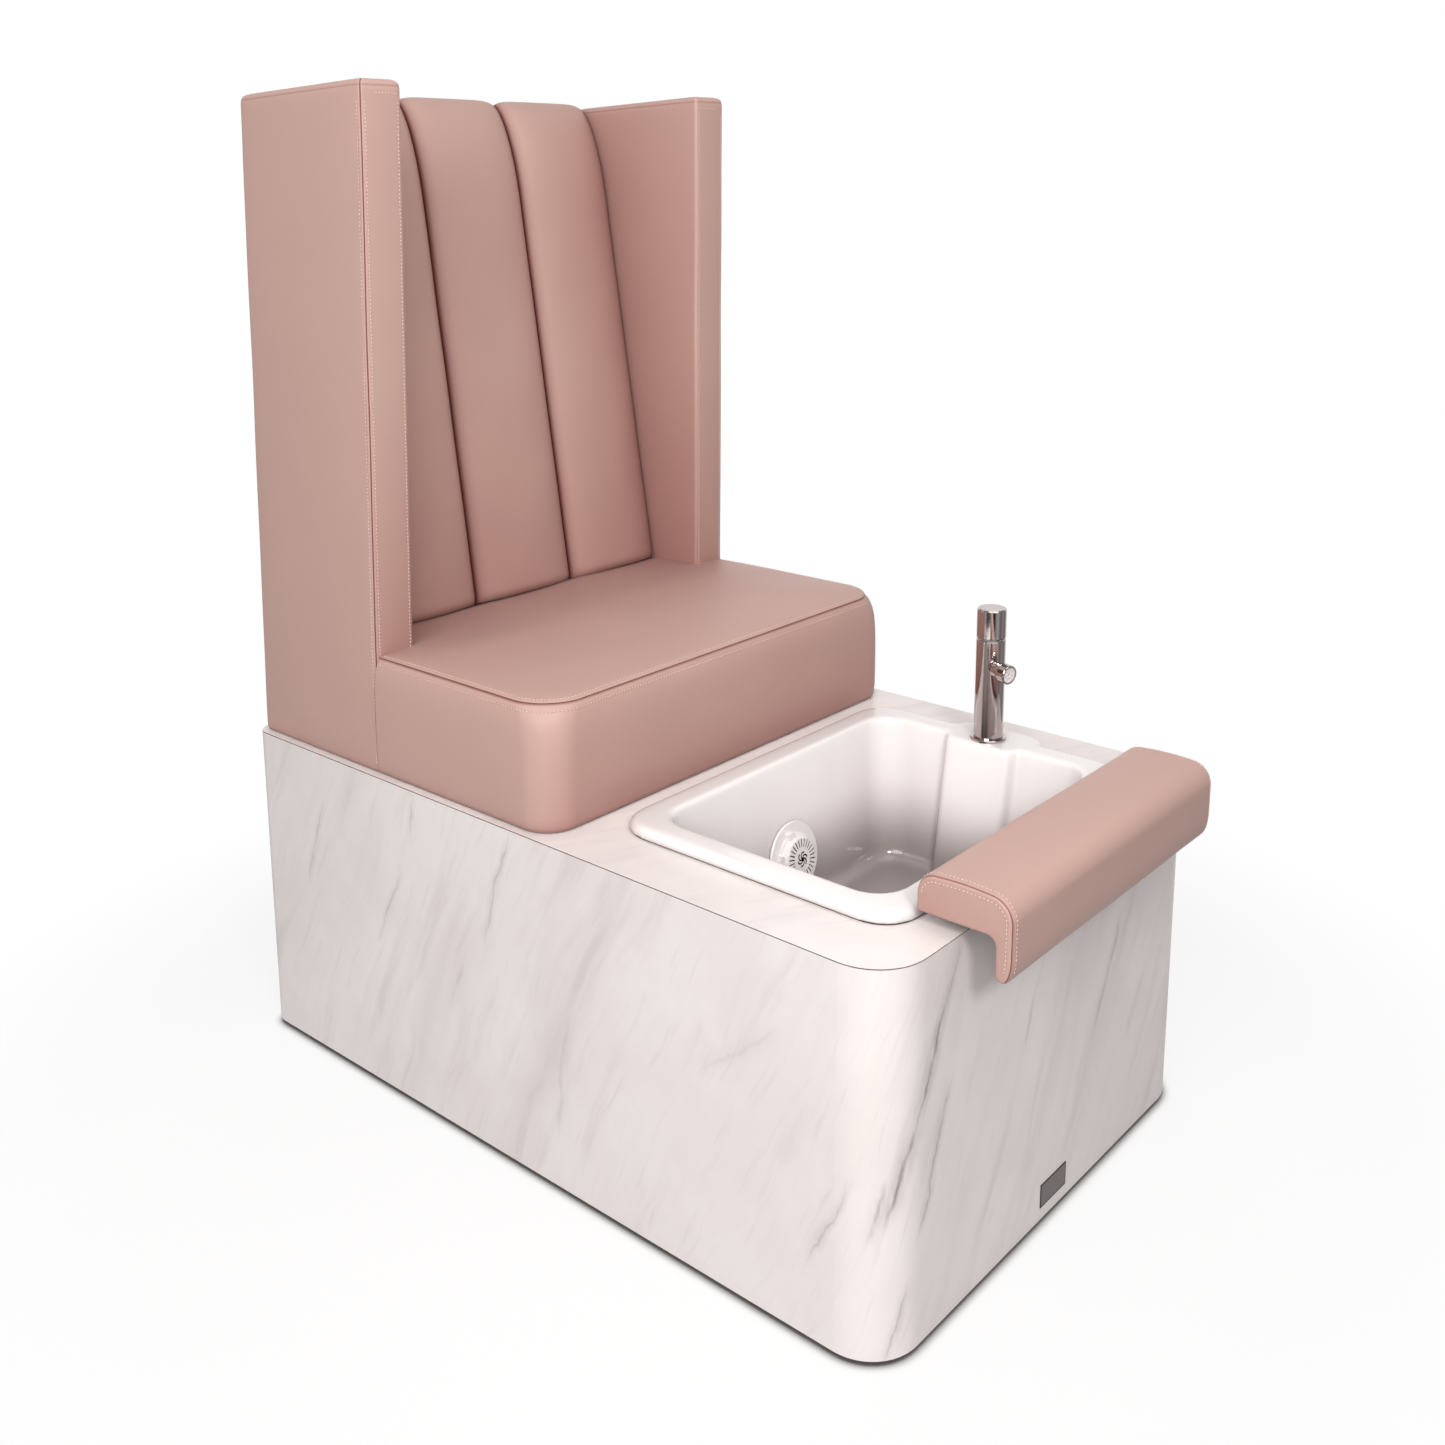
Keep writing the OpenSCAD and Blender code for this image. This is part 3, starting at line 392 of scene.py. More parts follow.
def badge(border_width=0.0021):
    """A bare satin plate with a darker border."""
    g = Graph("badge_metal")
    p = g.place()
    x, _, z = g.split(p)
    (x0, _, z0), (x1, _, z1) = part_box("badge_plate")
    out_x = g.math("ABSOLUTE", g.minus(x, (x0 + x1) / 2))
    out_z = g.math("ABSOLUTE", g.minus(z, (z0 + z1) / 2))
    border = g.larger(
        g.above(out_x, (x1 - x0) / 2 - border_width), g.above(out_z, (z1 - z0) / 2 - border_width)
    )
    base = g.mix(linear(90, 78, 78), linear(110, 99, 98), g.noise(p, 300.0, 3.0))
    base = g.mix(base, linear(40, 34, 36), border)
    return g.set(Base_Color=base, Metallic=0.75, Roughness=0.38)


M = {
    "rose_leather": leather(),
    "marble_laminate": marble(),
    "white_ceramic": ceramic(),
    "jet_plastic": jet_plastic(),
    "chrome": chrome(),
    "badge_metal": badge(),
    "dark_rubber": rubber(),
}
# name, sRGB colour, roughness, metallic, grain, the grain's scale
PLAIN = (
    ("panel_core", (186, 156, 118), 0.8, 0.0, 0.12, 240),
    ("plywood", (198, 168, 124), 0.7, 0.0, 0.1, 90),
    ("rear_board", (201, 196, 194), 0.5),
    ("zinc_steel", (172, 174, 178), 0.35, 1.0),
    ("black_plastic", (38, 38, 40), 0.5),
    ("white_plastic", (226, 224, 220), 0.4),
    ("copper_winding", (150, 84, 48), 0.4, 0.8, 0.2, 400),
    ("brass", (201, 168, 104), 0.25, 1.0),
    ("braided_steel", (160, 162, 166), 0.4, 1.0, 0.25, 900),
    ("black_lining", (22, 20, 22), 0.9, 0.0, 0.2, 500),
    ("thread", (250, 228, 220), 0.6, 0.0, 0.06, 800),
)
for finish in PLAIN:
    M[finish[0]] = plain(*finish)
for row in frame["record"]["subparts"]:
    o = nodes[row["node"]]
    o.data.materials.clear()
    o.data.materials.append(M[row["material_slot"]])

# ------------------------------------------------------------------ mesh helpers

UP, FORWARD, SIDEWAYS = [0.0, 0.0, 1.0], [0.0, -1.0, 0.0], [1.0, 0.0, 0.0]


def piece(
    name, verts, faces, material="rose_leather", body="plinth", stands_for=(), seam=None
):
    """A visible mesh piece from points in mm. The last argument gives how far each point is darkened:
    a seam's dark line, and painted shade in its crease.
    """
    me = bpy.data.meshes.new(name)
    me.from_pydata([tuple(v) for v in np.asarray(verts) * MM], [], faces)
    me.validate()
    me.update()
    me.materials.append(M[material])
    if seam is not None:
        a = me.attributes.new("seam", "FLOAT", "POINT")
        a.data.foreach_set("value", np.asarray(seam, np.float32))
    me.shade_smooth()
    o = bpy.data.objects.new(name, me)
    scene.collection.objects.link(o)
    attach(o, body)
    if stands_for:
        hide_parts(*stands_for)
    return o


def quads(rows, cols, closed=False):
    """Faces of a grid of points, row by row. A closed grid's rows are rings."""
    out = []
    for a in range(rows - 1):
        for i in range(cols if closed else cols - 1):
            j = (i + 1) % cols
            out.append((a * cols + i, a * cols + j, (a + 1) * cols + j, (a + 1) * cols + i))
    return out


def turned(faces):
    return [f[::-1] for f in faces]


def unit(v):
    """Rows of vectors brought to length 1."""
    return v / np.linalg.norm(v, axis=1)[:, None]


def ripple(p, size, seed):
    """A soft random unevenness from -1 to 1 at points p, with waves of about that size in mm."""
    rng = np.random.default_rng(seed)
    total = np.zeros(len(p))
    for _ in range(7):
        k = rng.normal(size=3)
        k *= 2 * math.pi / (size * rng.uniform(0.7, 1.6)) / np.linalg.norm(k)
        total += np.sin(p @ k + rng.uniform(0, 6.28))
    return total / 3.2


# one stitch lies along its first axis, is pointed at both ends and flat below
STITCH = [(-1, 0, 0)]
STITCH += [(end, side, height) for end in (-0.6, 0.6) for side, height in ((-1, 0), (0, 1), (1, 0))]
STITCH += [(1, 0, 0)]
STITCH_FACES = [(0, 1, 2), (0, 2, 3), (1, 4, 5, 2), (2, 5, 6, 3), (4, 7, 5), (5, 7, 6)]
STITCH_FACES += [(0, 3, 1), (1, 3, 6, 4), (4, 6, 7)]


def stitches(name, runs, body="plinth", pitch=4.7, length=3.0, thick=1.35):
    """Runs are (points, normals) along the leather. One mesh holds them all."""
    verts, faces = [], []
    for points, normals in runs:
        points, normals = np.asarray(points, float), np.asarray(normals, float)
        step = np.linalg.norm(np.diff(points, axis=0), axis=1)
        at = np.concatenate([[0], np.cumsum(step)])

        def along(rows, d):
            return np.array([np.interp(d, at, rows[:, i]) for i in range(3)])

        for d in np.arange(pitch * 0.6, at[-1] - pitch * 0.5, pitch):
            c, n = along(points, d), along(normals, d)
            t = along(points, min(d + 1, at[-1])) - c
            if np.linalg.norm(t) < 1e-6:
                continue
            t /= np.linalg.norm(t)
            n -= (n @ t) * t
            n /= np.linalg.norm(n)
            b = np.cross(n, t)
            base = len(verts)
            for u, v, w in STITCH:
                lift = w * thick * 0.42 + 0.05
                verts.append(c + t * u * length / 2 + b * v * thick / 2 + n * lift)
            faces += [tuple(base + i for i in f) for f in STITCH_FACES]
    return piece(name, verts, faces, "thread", body)


# ------------------------------------------------------------------ places shared with the CAD, mm

FRONT, DECK = -504.0, 447.0
SEAM_Z = DECK + 157.0
WING_Y = FRONT + 803.0


def wing_shift(z):
    """How far the wings lean in at a height."""
    return 10.0 * (z - DECK) / 875.0


def wing_front(z):
    return WING_Y - 14.0 * max(0.0, z - 618.0) / 704.0


# ------------------------------------------------------------------ seat cushion

# the seam round the seat's top: half width, front, corner radius; and the part between the wings
HW, Y0, Y1, YN, HN, RC = 335.0, FRONT + 491, WING_Y - 0.6, WING_Y + 90, 277.0, 58.0
SKIRT = 9  # how far the band stands out past the seam
CORNER = list(range(0, 91, 5))
# the top's columns near its edge, as distances in mm from the seam
EDGE = np.array([0, 0.8, 1.9, 3.4, 5.4, 8, 11, 15, 20, 27, 36, 48, 62])
# the band below the seam: distance in from the band's face, height, corner radius
BAND = ((9.4, 602.6, 58), (7.9, 600.6, 57), (6.2, 597, 55), (4.4, 591, 52), (2.7, 583, 49.5))
BAND += ((1.3, 570, 47.5), (0.4, 550, 46.5), (0, 520, 46), (0, 490, 46), (0.3, 468, 45.5))
BAND += ((1.2, 456, 44.5), (2.6, 450.4, 43), (6.0, 448.1, 40))


def seat_depth(x, y):
    """How far inside the seam a point of the seat's top lies."""
    x = abs(x)
    if x > HW - RC and y < Y0 + RC:
        return RC - math.hypot(x - HW + RC, Y0 + RC - y)
    return min(HW - x, y - Y0)


def seat_top(x, y):
    d = max(seat_depth(x, y), 0.0)
    roll = 3.2 * math.sqrt(1 - (1 - min(d / 18, 1)) ** 2)
    crown = 8.3 * (1 - (1 - min(d / 200, 1)) ** 2)
    # the crown falls towards the back
    t = min(max((y - Y1 + 90) / 150, 0), 1)
    return SEAM_Z + (roll + crown) * (1 - 0.9 * t * t * (3 - 2 * t))


def seat_rows(y0, rc):
    """The y and the corner angle of each row, front to rear, for one level's front and corner."""
    corner = [(y0 + rc * (1 - math.cos(math.radians(a))), a) for a in CORNER]
    side = np.concatenate([np.linspace(Y0 + RC + 9, Y1 - 4, 25), [Y1 - 2, Y1, Y1 + 0.4]])
    return corner + [(y, 90) for y in side] + [(y, None) for y in np.linspace(Y1 + 8, YN, 10)]


def seat_half(hw, rc, a):
    return HN if a is None else hw - rc + rc * math.sin(math.radians(a))


def seat_cover():
    """A crowned top inside a sewn seam, and a band that bellies out and tucks in over the deck."""
    edge = EDGE / HW
    inner = np.linspace(-0.79, 0.79, 48)
    cols = np.array(sorted(set(np.concatenate([edge - 1, 1 - edge, inner]))))
    rows = seat_rows(Y0, RC)
    nc, nr = len(cols), len(rows)
    top = np.array([(c * seat_half(HW, RC, a), y, 0) for y, a in rows for c in cols])
    top[:, 2] = [seat_top(x, y) for x, y, _ in top]
    inside = np.array([min(max(seat_depth(x, y), 0) / 40, 1) for x, y, _ in top])
    top[:, 2] += 0.7 * inside * ripple(top, 170, 3)
    faces = quads(nr, nc)
    # the top's border, point by point: left side from the rear, front, right side, rear
    loop = [r * nc for r in range(nr - 1, 0, -1)] + list(range(nc))
    loop += [r * nc + nc - 1 for r in range(1, nr)] + [(nr - 1) * nc + c for c in range(nc - 2, 0, -1)]
    n_loop = len(loop)

    def ring_at(inset, z, rc):
        """The seat's outline at one height, point for point with the seam's loop."""
        level = seat_rows(Y0 - SKIRT + inset, rc)
        ring = []
        for i in loop:
            y, a = level[i // nc]
            ring.append((cols[i % nc] * seat_half(HW + SKIRT - inset, rc, a), y, z))
        return np.array(ring)

    verts, prev = [top], loop
    for inset, z, rc in BAND:
        ring = ring_at(inset, z, rc)
        ring[:, 1] += 0.5 * min(1, (z - 448) / 30) * np.minimum(ripple(ring, 150, 5), 0.2)
        start = sum(len(v) for v in verts)
        verts.append(ring)
        now = list(range(start, start + n_loop))
        for i in range(n_loop):
            j = (i + 1) % n_loop
            faces.append((prev[j], prev[i], now[i], now[j]))
        prev = now
    faces.append(tuple(prev))
    verts = np.concatenate(verts)
    # the part between the wings has no seam
    sewn = [k for k, i in enumerate(loop) if top[i][1] < Y1 - 1]
    # the seam's marks: its dark line and painted shade in its groove, half as dark on the band's first
    # ring below
    seam = np.zeros(len(verts))
    seam[[loop[k] for k in sewn]] = 1.0
    seam[[len(top) + k for k in sewn]] = 0.5
    seat = piece("seat_cover", verts, faces, stands_for=("seat_cushion",), seam=seam)

    path = top[loop]
    tangent = np.roll(path, -1, 0) - np.roll(path, 1, 0)
    outward = unit(np.stack([tangent[:, 1], -tangent[:, 0], np.zeros(n_loop)], 1))
    order = [i for i, p in enumerate(path) if p[1] < Y1 - 3]
    outward = outward[order]
    below = ring_at(5.6, 595.6, 54.5)[order] + outward * 0.15
    above = path[order] - outward * 5.0
    above[:, 2] = [seat_top(x, y) + 0.2 for x, y, _ in above]
    slanted = np.array(UP) * 0.8 + outward * 0.6
    stitches("seat_stitching", [(below, outward), (above, slanted)])


seat_cover()

# ------------------------------------------------------------------ back cushion

LOW_Y, SLOPE, ROLL_Z = FRONT + 900, 100.0 / 671.0, 1180.0
CHANNELS, CHANNEL_POINTS, CHANNEL_DEPTH = 3, 40, 22
# over the roll at the head: height, distance rolled back, depth of the channels, the surface's
# direction out in degrees over the horizontal, power of the channels' arch
HEAD = ((1182, 0, 22, 8.5, 2.5), (1205, 1.0, 22, 10, 2.6), (1225, 2.6, 21.7, 13, 2.8))
HEAD += ((1245, 5.4, 21, 19, 3.0), (1263, 8.8, 20, 27, 3.2), (1276, 12.0, 18.6, 35, 3.6))
HEAD += ((1286, 15.2, 16.8, 44, 4.0), (1294, 18.4, 15, 54, 4.6), (1300, 21.6, 13, 65, 5.2))
HEAD += ((1304.5, 25.2, 11.5, 77, 6), (1307.2, 29.5, 10.6, 89, 6.5), (1306.8, 32, 9.6, 104, 6.5))
HEAD += ((1304, 34, 7.8, 122, 7), (1298, 35, 5, 145, 7), (1288, 35, 0.5, 168, 7))
# painted shade at the crease between two channels: how dark, point by point away from its middle
CREASE_SHADE = (1.0, 1.0, 0.92, 0.7, 0.42, 0.24, 0.13, 0.06)


def back_cover():
    """Three upright channels that arch between sewn creases and roll back at the head."""
    lean = math.atan(SLOPE)
    profile = []
    for z in np.concatenate([[604.5, 605.5, 607.5, 611, 616, 622], np.arange(632, ROLL_Z, 16)]):
        tuck = max(0.0, 1 - (z - 604) / 12.0)
        profile.append((z, 1.5 * tuck**2, CHANNEL_DEPTH * (1 - 0.25 * tuck**2), lean, 2.5))
    for z, rolled, depth, degrees, power in HEAD:
        profile.append((z, rolled, depth, math.radians(degrees), power))
    across = 0.5 - 0.5 * np.cos(np.linspace(0, math.pi, CHANNEL_POINTS + 1))
    grid = []
    for z, rolled, depth, angle, power in profile:
        half = 280.0 - wing_shift(z) - 0.6
        y = LOW_Y + (z - SEAM_Z) * SLOPE + rolled
        for k in range(CHANNELS):
            for t in across[: None if k == CHANNELS - 1 else -1]:
                x = -half + (k + t) * 2 * half / CHANNELS
                d = depth * (1 - abs(2 * t - 1) ** power) ** 0.5
                grid.append((x, y - math.cos(angle) * d, z + math.sin(angle) * d))
    grid = np.array(grid)
    k = len(profile)
    n = CHANNELS * CHANNEL_POINTS + 1
    from_crease = [min(i % CHANNEL_POINTS, CHANNEL_POINTS - i % CHANNEL_POINTS) for i in range(n)]
    soft = np.tile([min(1.0, j / 10) for j in from_crease], k)
    grid[:, 1] += 0.8 * soft * ripple(grid, 130, 9)
    faces = []
    for a in range(k - 1):
        for i in range(n - 1):
            low, high = a * n + i, (a + 1) * n + i
            faces.append((low + 1, high + 1, high, low))
    seam = np.tile([CREASE_SHADE[j] if j < len(CREASE_SHADE) else 0.0 for j in from_crease], k)
    back = piece("back_cover", grid, faces, stands_for=("back_cushion",), seam=seam)


back_cover()

# ------------------------------------------------------------------ wing pads

WING_IN, WING_OUT, WING_LENGTH = 280, 341, 265
LIP_Z = 1314.2  # the seam round the top
# heights of the outline's rings, and how far each lies inside the full outline
WING_LEVELS = [(447.8, 3), (449, 1.2), (453, 0.3), (459, 0)]
WING_LEVELS += [(z, 0) for z in np.arange(475, 1292, 16)]
WING_LEVELS += [(1300, 0), (1308, 0), (1312.6, 0.1), (LIP_Z, 0.4), (1315.8, 0.7), (1317.8, 1.6)]
WING_LEVELS += [(1319.6, 3.2), (1320.9, 5.4), (1321.9, 8.8), (1322.3, 14)]
OUTER_FRONT, INNER_FACE = 1, 3  # of the four corners, and of the four faces after them


def wing_outline(z, inset):
    """The right wing's section at one height, and each point's seam mark."""
    x_in, x_out = WING_IN - wing_shift(z) + inset, WING_OUT - wing_shift(z) - inset
    y_f, y_r = wing_front(z) + inset, WING_Y + WING_LENGTH - 17 * (z - DECK) / 875 - inset
    rf, rr = max(5.0 - inset * 0.3, 3), 12
    corners = (
        (x_in + rf, y_f + rf, 180, rf),
        (x_out - rf, y_f + rf, 270, rf),
        (x_out - rr, y_r - rr, 0, rr),
        (x_in + rr, y_r - rr, 90, rr),
    )
    pts, marks = [], []
    for ci, (cx, cy, a0, cr) in enumerate(corners):
        for a in np.linspace(0, 90, 13):
            ang = math.radians(a0 + a)
            # a seam runs up the outer front corner; its mark paints the seam's dark line, with painted
            # shade in the groove beside it
            off_seam = abs(a - 45) if ci == OUTER_FRONT else 90
            r = cr - (0.9 if off_seam < 1 else 0.0)
            pts.append((cx + r * math.cos(ang), cy + r * math.sin(ang), z))
            marks.append(1.0 if off_seam < 1 else 0.6 if off_seam < 9 else 0.0)
        nx, ny, _, nr = corners[(ci + 1) % 4]
        out_x, out_y = math.cos(math.radians(a0 + 90)), math.sin(math.radians(a0 + 90))
        end = (nx + nr * out_x, ny + nr * out_y)
        begin = pts[-1]
        long_face = ci % 2
        along = [0.02, 0.05, 0.09, 0.14] + list(np.linspace(0.2, 0.8, 14 if long_face else 5))
        bulge = 2.6 if long_face else 1.2
        for s in along + [0.86, 0.91, 0.95, 0.98]:
            swell = bulge * math.sin(math.pi * s) ** 0.6 * min(1, (z - DECK) / 40, (1322 - z) / 16)
            swell = max(swell, 0)
            # the inner face lies flat against the back pad, so it swells less
            swell *= 0.6 if ci == INNER_FACE else 1.0
            x = begin[0] + (end[0] - begin[0]) * s + out_x * swell
            y = begin[1] + (end[1] - begin[1]) * s + out_y * swell
            pts.append((x, y, z))
            marks.append(0.0)
    pts = np.array(pts)
    if z == LIP_Z:
        d = pts - pts.mean(0)
        d[:, 2] = 0
        pts -= unit(d) * 0.4
        # the seam round the top gets a faint dark mark all round, for its line and painted shade
        marks = [max(m, 0.35) for m in marks]
    return pts, marks


def wing(side):
    """One padded wing: side is -1 for the left one and 1 for the right one."""
    name = "right" if side > 0 else "left"
    mirror = np.array([side, 1, 1])
    levels = [wing_outline(z, inset) for z, inset in WING_LEVELS]
    verts = np.concatenate([pts for pts, _ in levels])
    k, n = len(levels), len(levels[0][0])
    z = verts[:, 2]
    amount = np.array([min(1, max(0, (h - 460) / 60), max(0, (1300 - h) / 60)) for h in z])
    verts[:, 0] += 0.5 * amount * ripple(verts, 210, 11 + side)
    # the top falls a little towards the rear
    z -= 10.5 * np.clip((z - 1200) / 100, 0, 1) * np.clip((verts[:, 1] - 300) / 245, 0, 1)
    faces = quads(k, n, closed=True)
    faces += [tuple(range(n - 1, -1, -1)), tuple((k - 1) * n + i for i in range(n))]
    seam = np.concatenate([marks for _, marks in levels])
    covers = (f"wing_pad_{name}",)
    o = piece(
        f"wing_cover_{name}",
        verts * mirror,
        turned(faces) if side < 0 else faces,
        stands_for=covers,
        seam=seam,
    )
    # stitch rows: outer seam both sides, inner edge on the strip, and across the strip's top
    tall = [i for i, (h, _) in enumerate(WING_LEVELS) if 459 <= h <= 1307]
    z = verts.reshape(k, n, 3)[tall][:, 0, 2]
    shift = wing_shift(z)
    y = np.array([wing_front(h) for h in z])
    runs = []
    for x, y_row, facing in (
        (WING_OUT - shift - 6.6, y - 0.25, FORWARD),
        (WING_OUT - shift + 0.15, y + 6.8, SIDEWAYS),
        (WING_IN - shift + 6.0, y - 0.25, FORWARD),
    ):
        runs.append((np.stack([x, y_row, z], 1) * mirror, np.tile(facing, (len(tall), 1)) * mirror))
    top_row = 1305
    xs = np.linspace(287, 324, 10) - wing_shift(top_row)
    run = np.stack([xs, np.full(10, wing_front(top_row) - 0.9), np.full(10, float(top_row))], 1)
    runs.append((run * mirror, np.tile(FORWARD, (10, 1))))
    stitches(f"wing_stitching_{name}", runs)


wing(-1)
wing(1)

# ------------------------------------------------------------------ footrest

# the pad's front, rear, top, underside, its front lip's rear face and lower end
RF, RB, RT, RL, LEG, LOW = -571.0, -457.0, 510.0, 462.3, -550.0, 416.0
# at the pad's ends: how far each ring lies inside the section, and where along the pad it is
REST_END = [(4.4, -237.1), (3.2, -236.9), (2.3, -236.4), (1.7, -235.7), (1.9, -235.1)]
REST_END += [(1.1, -234.5), (0.5, -232.8), (0.1, -230), (0, -226)]
SEWN_RING = 4  # the ring of REST_END that is the seam


def rest_outline():
    """The pad's section as points (y, z), anticlockwise seen from +X, finely spaced."""
    pts = []

    def arc(cy, cz, r, a, b, n, rz=None):
        for t in np.linspace(a, b, n):
            y = cy + r * math.cos(math.radians(t))
            pts.append((y, cz + (rz or r) * math.sin(math.radians(t))))

    arc(RF + 11, LOW + 30, 11, 180, 270, 13, rz=30)
    arc(LEG - 9, LOW + 9, 9, 275, 360, 8)
    pts.append((LEG, LOW + 25))
    arc(LEG + 9, RL - 9, 9, 180, 90, 9)
    pts.extend([(-510.0, RL), (-480.0, RL)])
    arc(RB - 5, RL + 5, 5, 270, 360, 6)
    arc(RB - 24, RT - 1.5 - 24, 24, 0, 86, 15)
    for t in np.linspace(0.12, 0.88, 8):
        y = RB - 24 + (RF + 27 - RB + 24) * t
        pts.append((y, RT - 1.5 + 1.5 * math.sin(math.pi * t)))
    arc(RF + 27, RT - 1.5 - 27, 27, 94, 180, 15)
    pts.extend([(RF, 470.0), (RF, 459.0)])
    return np.array(pts)


def footrest_cover():
    """The pad with a seam round each end."""
    outline = rest_outline()
    t = np.roll(outline, -1, 0) - np.roll(outline, 1, 0)
    outward = unit(np.stack([t[:, 1], -t[:, 0]], 1))
    stations = REST_END + [(0, x) for x in np.linspace(-215, 215, 38)]
    stations += [(d, -x) for d, x in REST_END[::-1]]
    k, n = len(stations), len(outline)
    verts = [np.column_stack([np.full(n, x), outline - outward * d]) for d, x in stations]
    verts = np.concatenate(verts)
    cap = tessellate_polygon([[Vector((y, z, 0)) for y, z in verts[:n, 1:]]])
    mid = np.clip((229 - np.abs(verts[:, 0])) / 60, 0, 1)
    verts[:, 1:] += (0.35 * mid * ripple(verts, 120, 21))[:, None] * np.array([0.3, 0.7])
    verts[:, 1] = np.maximum(verts[:, 1], RF)
    covered = [i for i, (y, z) in enumerate(outline) if z > RL + 6 or y < RF + 8]
    # the seam rings' marks: each seam's dark line, with painted shade on the rings beside it
    seam = np.zeros((k, n))
    for ring in (SEWN_RING, -1 - SEWN_RING):
        seam[ring, covered] = 1.0
        for beside in (ring - 1, ring + 1):
            seam[beside, covered] = 0.35
    last = (k - 1) * n
    faces = quads(k, n, closed=True) + [(c, b, a) for a, b, c in cap]
    faces += [(last + a, last + b, last + c) for a, b, c in cap]
    rest = piece(
        "footrest_cover",
        verts,
        turned(faces),
        body="footrest",
        stands_for=("footrest_cushion",),
        seam=seam.reshape(-1),
    )

    # the stitches run round the leather that shows, from the underside's rear edge
    start = next(i for i, (y, z) in enumerate(outline) if y > RB - 30 and z < RL + 1)
    line = []
    for i in range(start, start + n):
        y, z = outline[i % n]
        if z > RL + 8 or (y < RF + 5 and z > LOW + 8):
            line.append(i % n)
    side = outward[line]
    on_end = outline[line] - side * 7.2
    on_cover = outline[line] + side * 0.1
    nil = np.zeros(len(line))
    runs = []
    for end in (-1, 1):
        facing_out = np.column_stack([nil + end, nil, nil])
        runs.append((np.column_stack([nil + end * 237.2, on_end]), facing_out))
        runs.append((np.column_stack([nil + end * 229.2, on_cover]), np.column_stack([nil, side])))
    stitches("footrest_stitching", runs, body="footrest")


footrest_cover()

# ------------------------------------------------------------------ CAD nodes: smoothing

for o in nodes.values():
    if o.hide_render:
        continue
    for poly in o.data.polygons:
        poly.use_smooth = True
    o.data.set_sharp_from_angle(angle=math.radians(32))

basin = nodes["basin"]
voxel = basin.modifiers.new("voxel", "REMESH")
voxel.mode = "VOXEL"
voxel.voxel_size = 0.0026
voxel.use_smooth_shade = True
soften = basin.modifiers.new("soften", "SMOOTH")
soften.factor = 0.5
soften.iterations = 26
# smoothing draws the rim in a little, so it goes back out over its seal
swell = basin.modifiers.new("swell", "DISPLACE")
swell.mid_level = 0.0
swell.strength = 0.0008

# ------------------------------------------------------------------ floor

bpy.ops.mesh.primitive_plane_add(size=30, location=(0, 0, 0))
floor = bpy.context.object
floor.name = "floor"
fg = Graph("floor_white")
fg.set(Base_Color=(0.25, 0.238, 0.238, 1), Roughness=0.9, Specular_IOR_Level=0.1)
# the camera sees a white floor that keeps part of the object's shadow
lit = fg.node("ShaderNodeBsdfDiffuse")
# painted contact shadow: the floor goes near black within 16 mm of the chair, and less white glow
# shows there
near = fg.open_sky(0.016, 12)
shade = fg.mix((0.05, 0.035, 0.04, 1), (0.9, 0.89, 0.89, 1), fg.ramp(near, 0.35, 1.0))
fg.link(shade, lit.inputs["Color"])
glow = fg.node("ShaderNodeEmission")
glow.inputs["Color"].default_value = (1, 1, 1, 1)
glow.inputs["Strength"].default_value = 1.0
seen_floor = fg.mix_shader(fg.ramp(near, 0.45, 1.0, 0.05, 0.8), lit.outputs[0], glow.outputs[0])
ray = fg.node("ShaderNodeLightPath").outputs
seen = fg.larger(ray["Is Camera Ray"], fg.larger(ray["Is Glossy Ray"], ray["Is Transmission Ray"]))
floor_mix = fg.mix_shader(seen, fg.bsdf.outputs[0], seen_floor)
# it fades out into the world's white away from the chair
reach = fg.node("ShaderNodeVectorMath", operation="LENGTH")
fg.link(fg.place(), reach.inputs[0])
clear = fg.node("ShaderNodeBsdfTransparent")
fade = fg.mix_shader(fg.ramp(reach.outputs["Value"], 0.75, 1.25), floor_mix, clear.outputs[0])
fg.link(fade, fg.tree.nodes["Material Output"].inputs["Surface"])
floor.data.materials.append(fg.mat)
floor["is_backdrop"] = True

# ------------------------------------------------------------------ world, lamps, camera

world = bpy.data.worlds.new("studio")
scene.world = world
world.use_nodes = True
world.node_tree.nodes.remove(world.node_tree.nodes["Background"])
w = Nodes(world.node_tree)


def backdrop(colour, strength):
    return w.fed(w.node("ShaderNodeBackground"), colour, strength)


out_x, out_y, out_z = w.split(w.node("ShaderNodeTexCoord").outputs["Generated"])
height = w.math("MULTIPLY_ADD", out_z, 0.5, 0.5)
soft_sky = backdrop((1, 0.965, 0.965, 1), w.math("MULTIPLY_ADD", height, 0.12, 0.14))
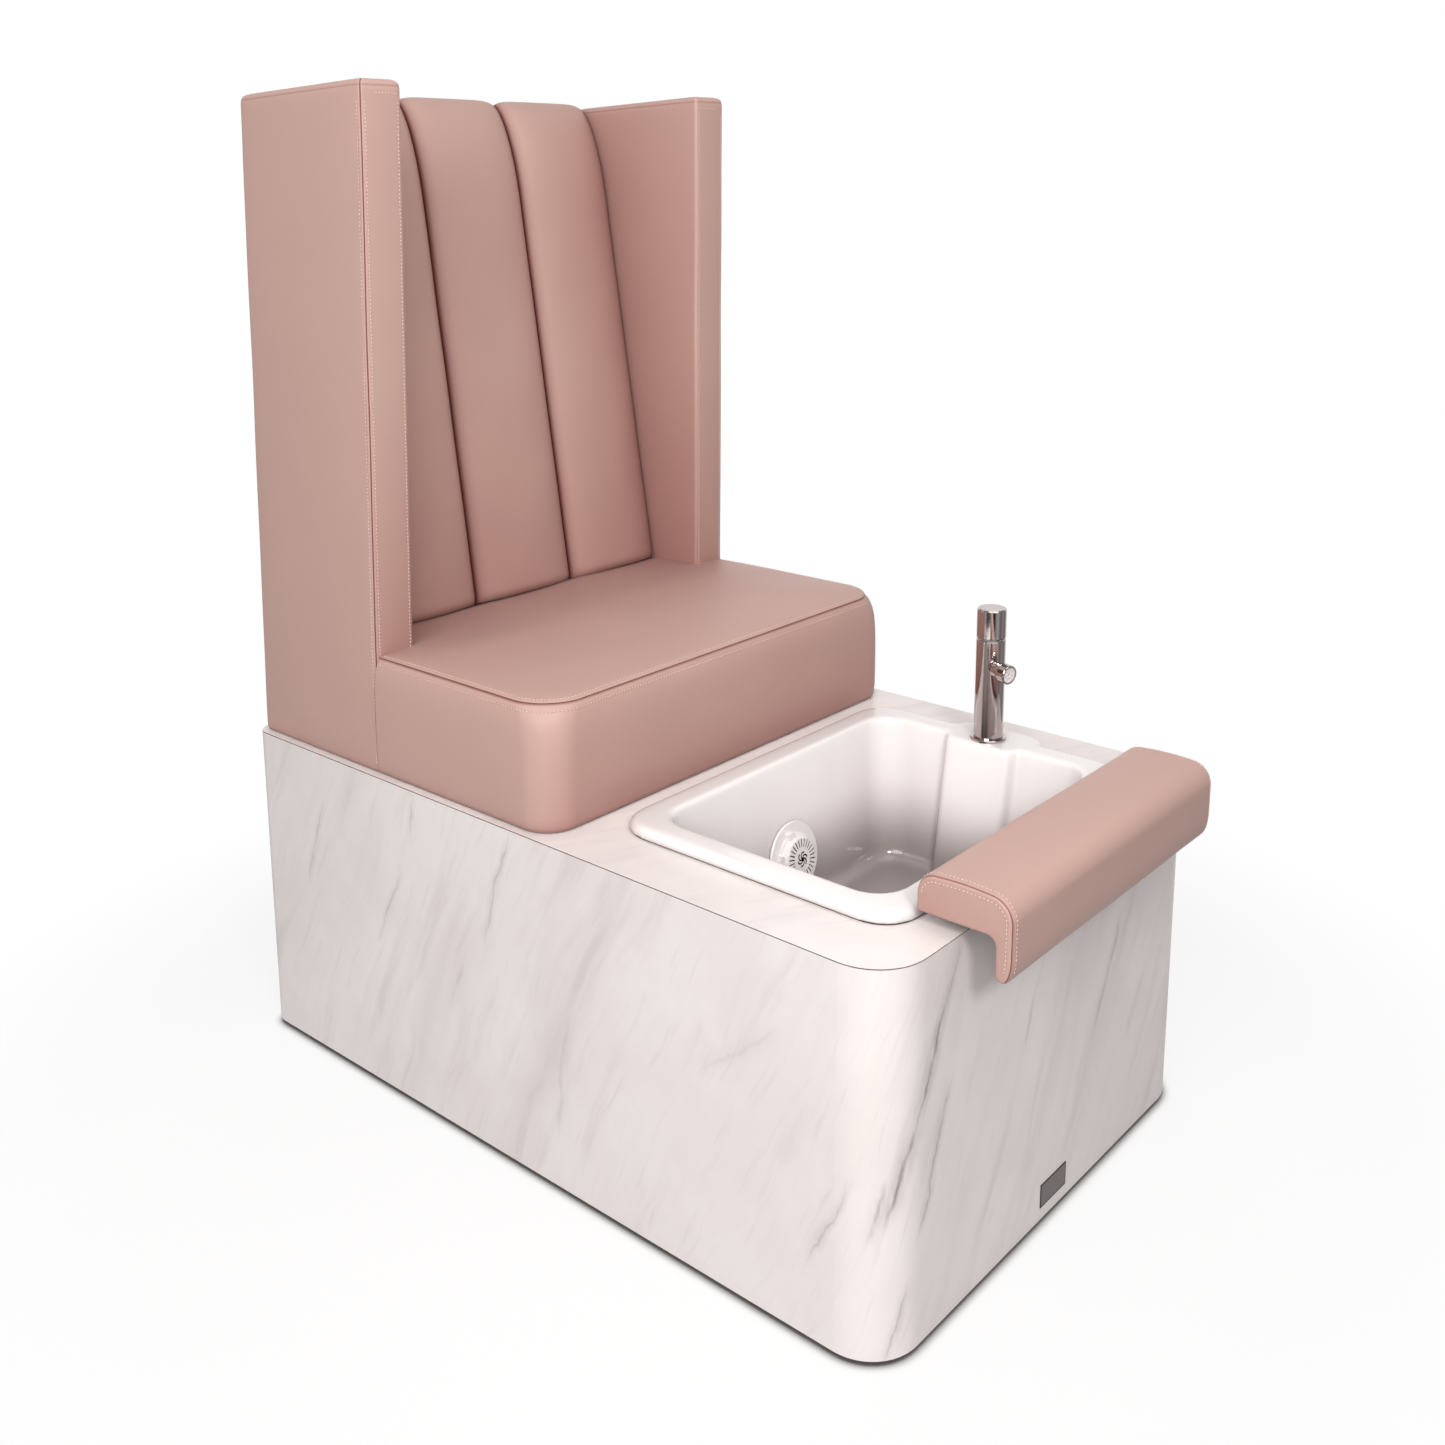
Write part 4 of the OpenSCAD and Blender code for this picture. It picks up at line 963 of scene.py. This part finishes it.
# what polished parts show: a grey room with upright bands, as round a studio's screens
azimuth = w.math("ARCTAN2", out_y, out_x)
bands = w.times(
    w.math("SINE", w.math("MULTIPLY_ADD", azimuth, 5.0, 0.9)),
    w.math("SINE", w.math("MULTIPLY_ADD", azimuth, 2.0, 2.4)),
)
bands = w.larger(w.math("MULTIPLY_ADD", bands, 0.30, 0.25), 0.02)
bright_side = w.math("MULTIPLY_ADD", w.plus(out_x, out_y), 0.8, 0.1, clamp=True)
room = backdrop((0.98, 0.96, 0.96, 1), w.plus(bands, w.times(bright_side, 0.75)))
white = backdrop((1, 1, 1, 1), 1.0)
rays = w.node("ShaderNodeLightPath").outputs
by_eye = w.larger(rays["Is Camera Ray"], rays["Is Transmission Ray"])
surface = w.mix_shader(by_eye, w.mix_shader(rays["Is Glossy Ray"], soft_sky, room), white)
w.link(surface, world.node_tree.nodes["World Output"].inputs["Surface"])


def softbox(name, at, aim, size, power, colour=(1, 0.985, 0.97)):
    data = bpy.data.lights.new(name, "AREA")
    data.shape = "RECTANGLE"
    data.size, data.size_y = size
    data.energy = power
    data.color = colour
    o = bpy.data.objects.new(name, data)
    scene.collection.objects.link(o)
    o.location = at
    o.rotation_euler = (Vector(aim) - Vector(at)).to_track_quat("-Z", "Y").to_euler()
    return o


softbox("left", (-2.7, -1.15, 2.0), (0, 0, 0.5), (2.4, 1.8), 74)
softbox("front", (-1.6, -2.45, 2.27), (0, 0, 0.5), (0.6, 0.6), 41, (1, 0.965, 0.95))
# the sides that the photo doesn't show get a plain light of their own
behind = softbox("behind", (2.3, 2.5, 0.95), (0, 0.2, 0.6), (2.4, 1.3), 52)
behind.visible_glossy = False
softbox("overhead", (0.0, -0.7, 2.2), (0, -0.45, 0.4), (1.2, 1.2), 7)

# the photo's camera: its width, focal length and vertical shift in pixels; heading, tilt and roll
PHOTO_WIDTH, FOCAL, SHIFT = 1445, 1527.8, -234.7
HEADING, TILT, ROLL = -49.381, -11.421, -0.222
cam = bpy.data.cameras.new("photo_camera")
camera = bpy.data.objects.new("photo_camera", cam)
scene.collection.objects.link(camera)
scene.camera = camera
camera.location = (-1.4702, -1.2555, 1.2020)
heading, tilt, roll = (
    Matrix.Rotation(math.radians(angle), 3, axis)
    for angle, axis in ((HEADING, "Z"), (90 + TILT, "X"), (ROLL, "Z"))
)
camera.rotation_euler = (heading @ tilt @ roll).to_euler()
cam.sensor_width = 36
cam.lens = 36 * FOCAL / PHOTO_WIDTH
cam.shift_y = SHIFT / PHOTO_WIDTH
cam.clip_end = 60

scene.view_settings.view_transform = "Standard"

write_size("shown")
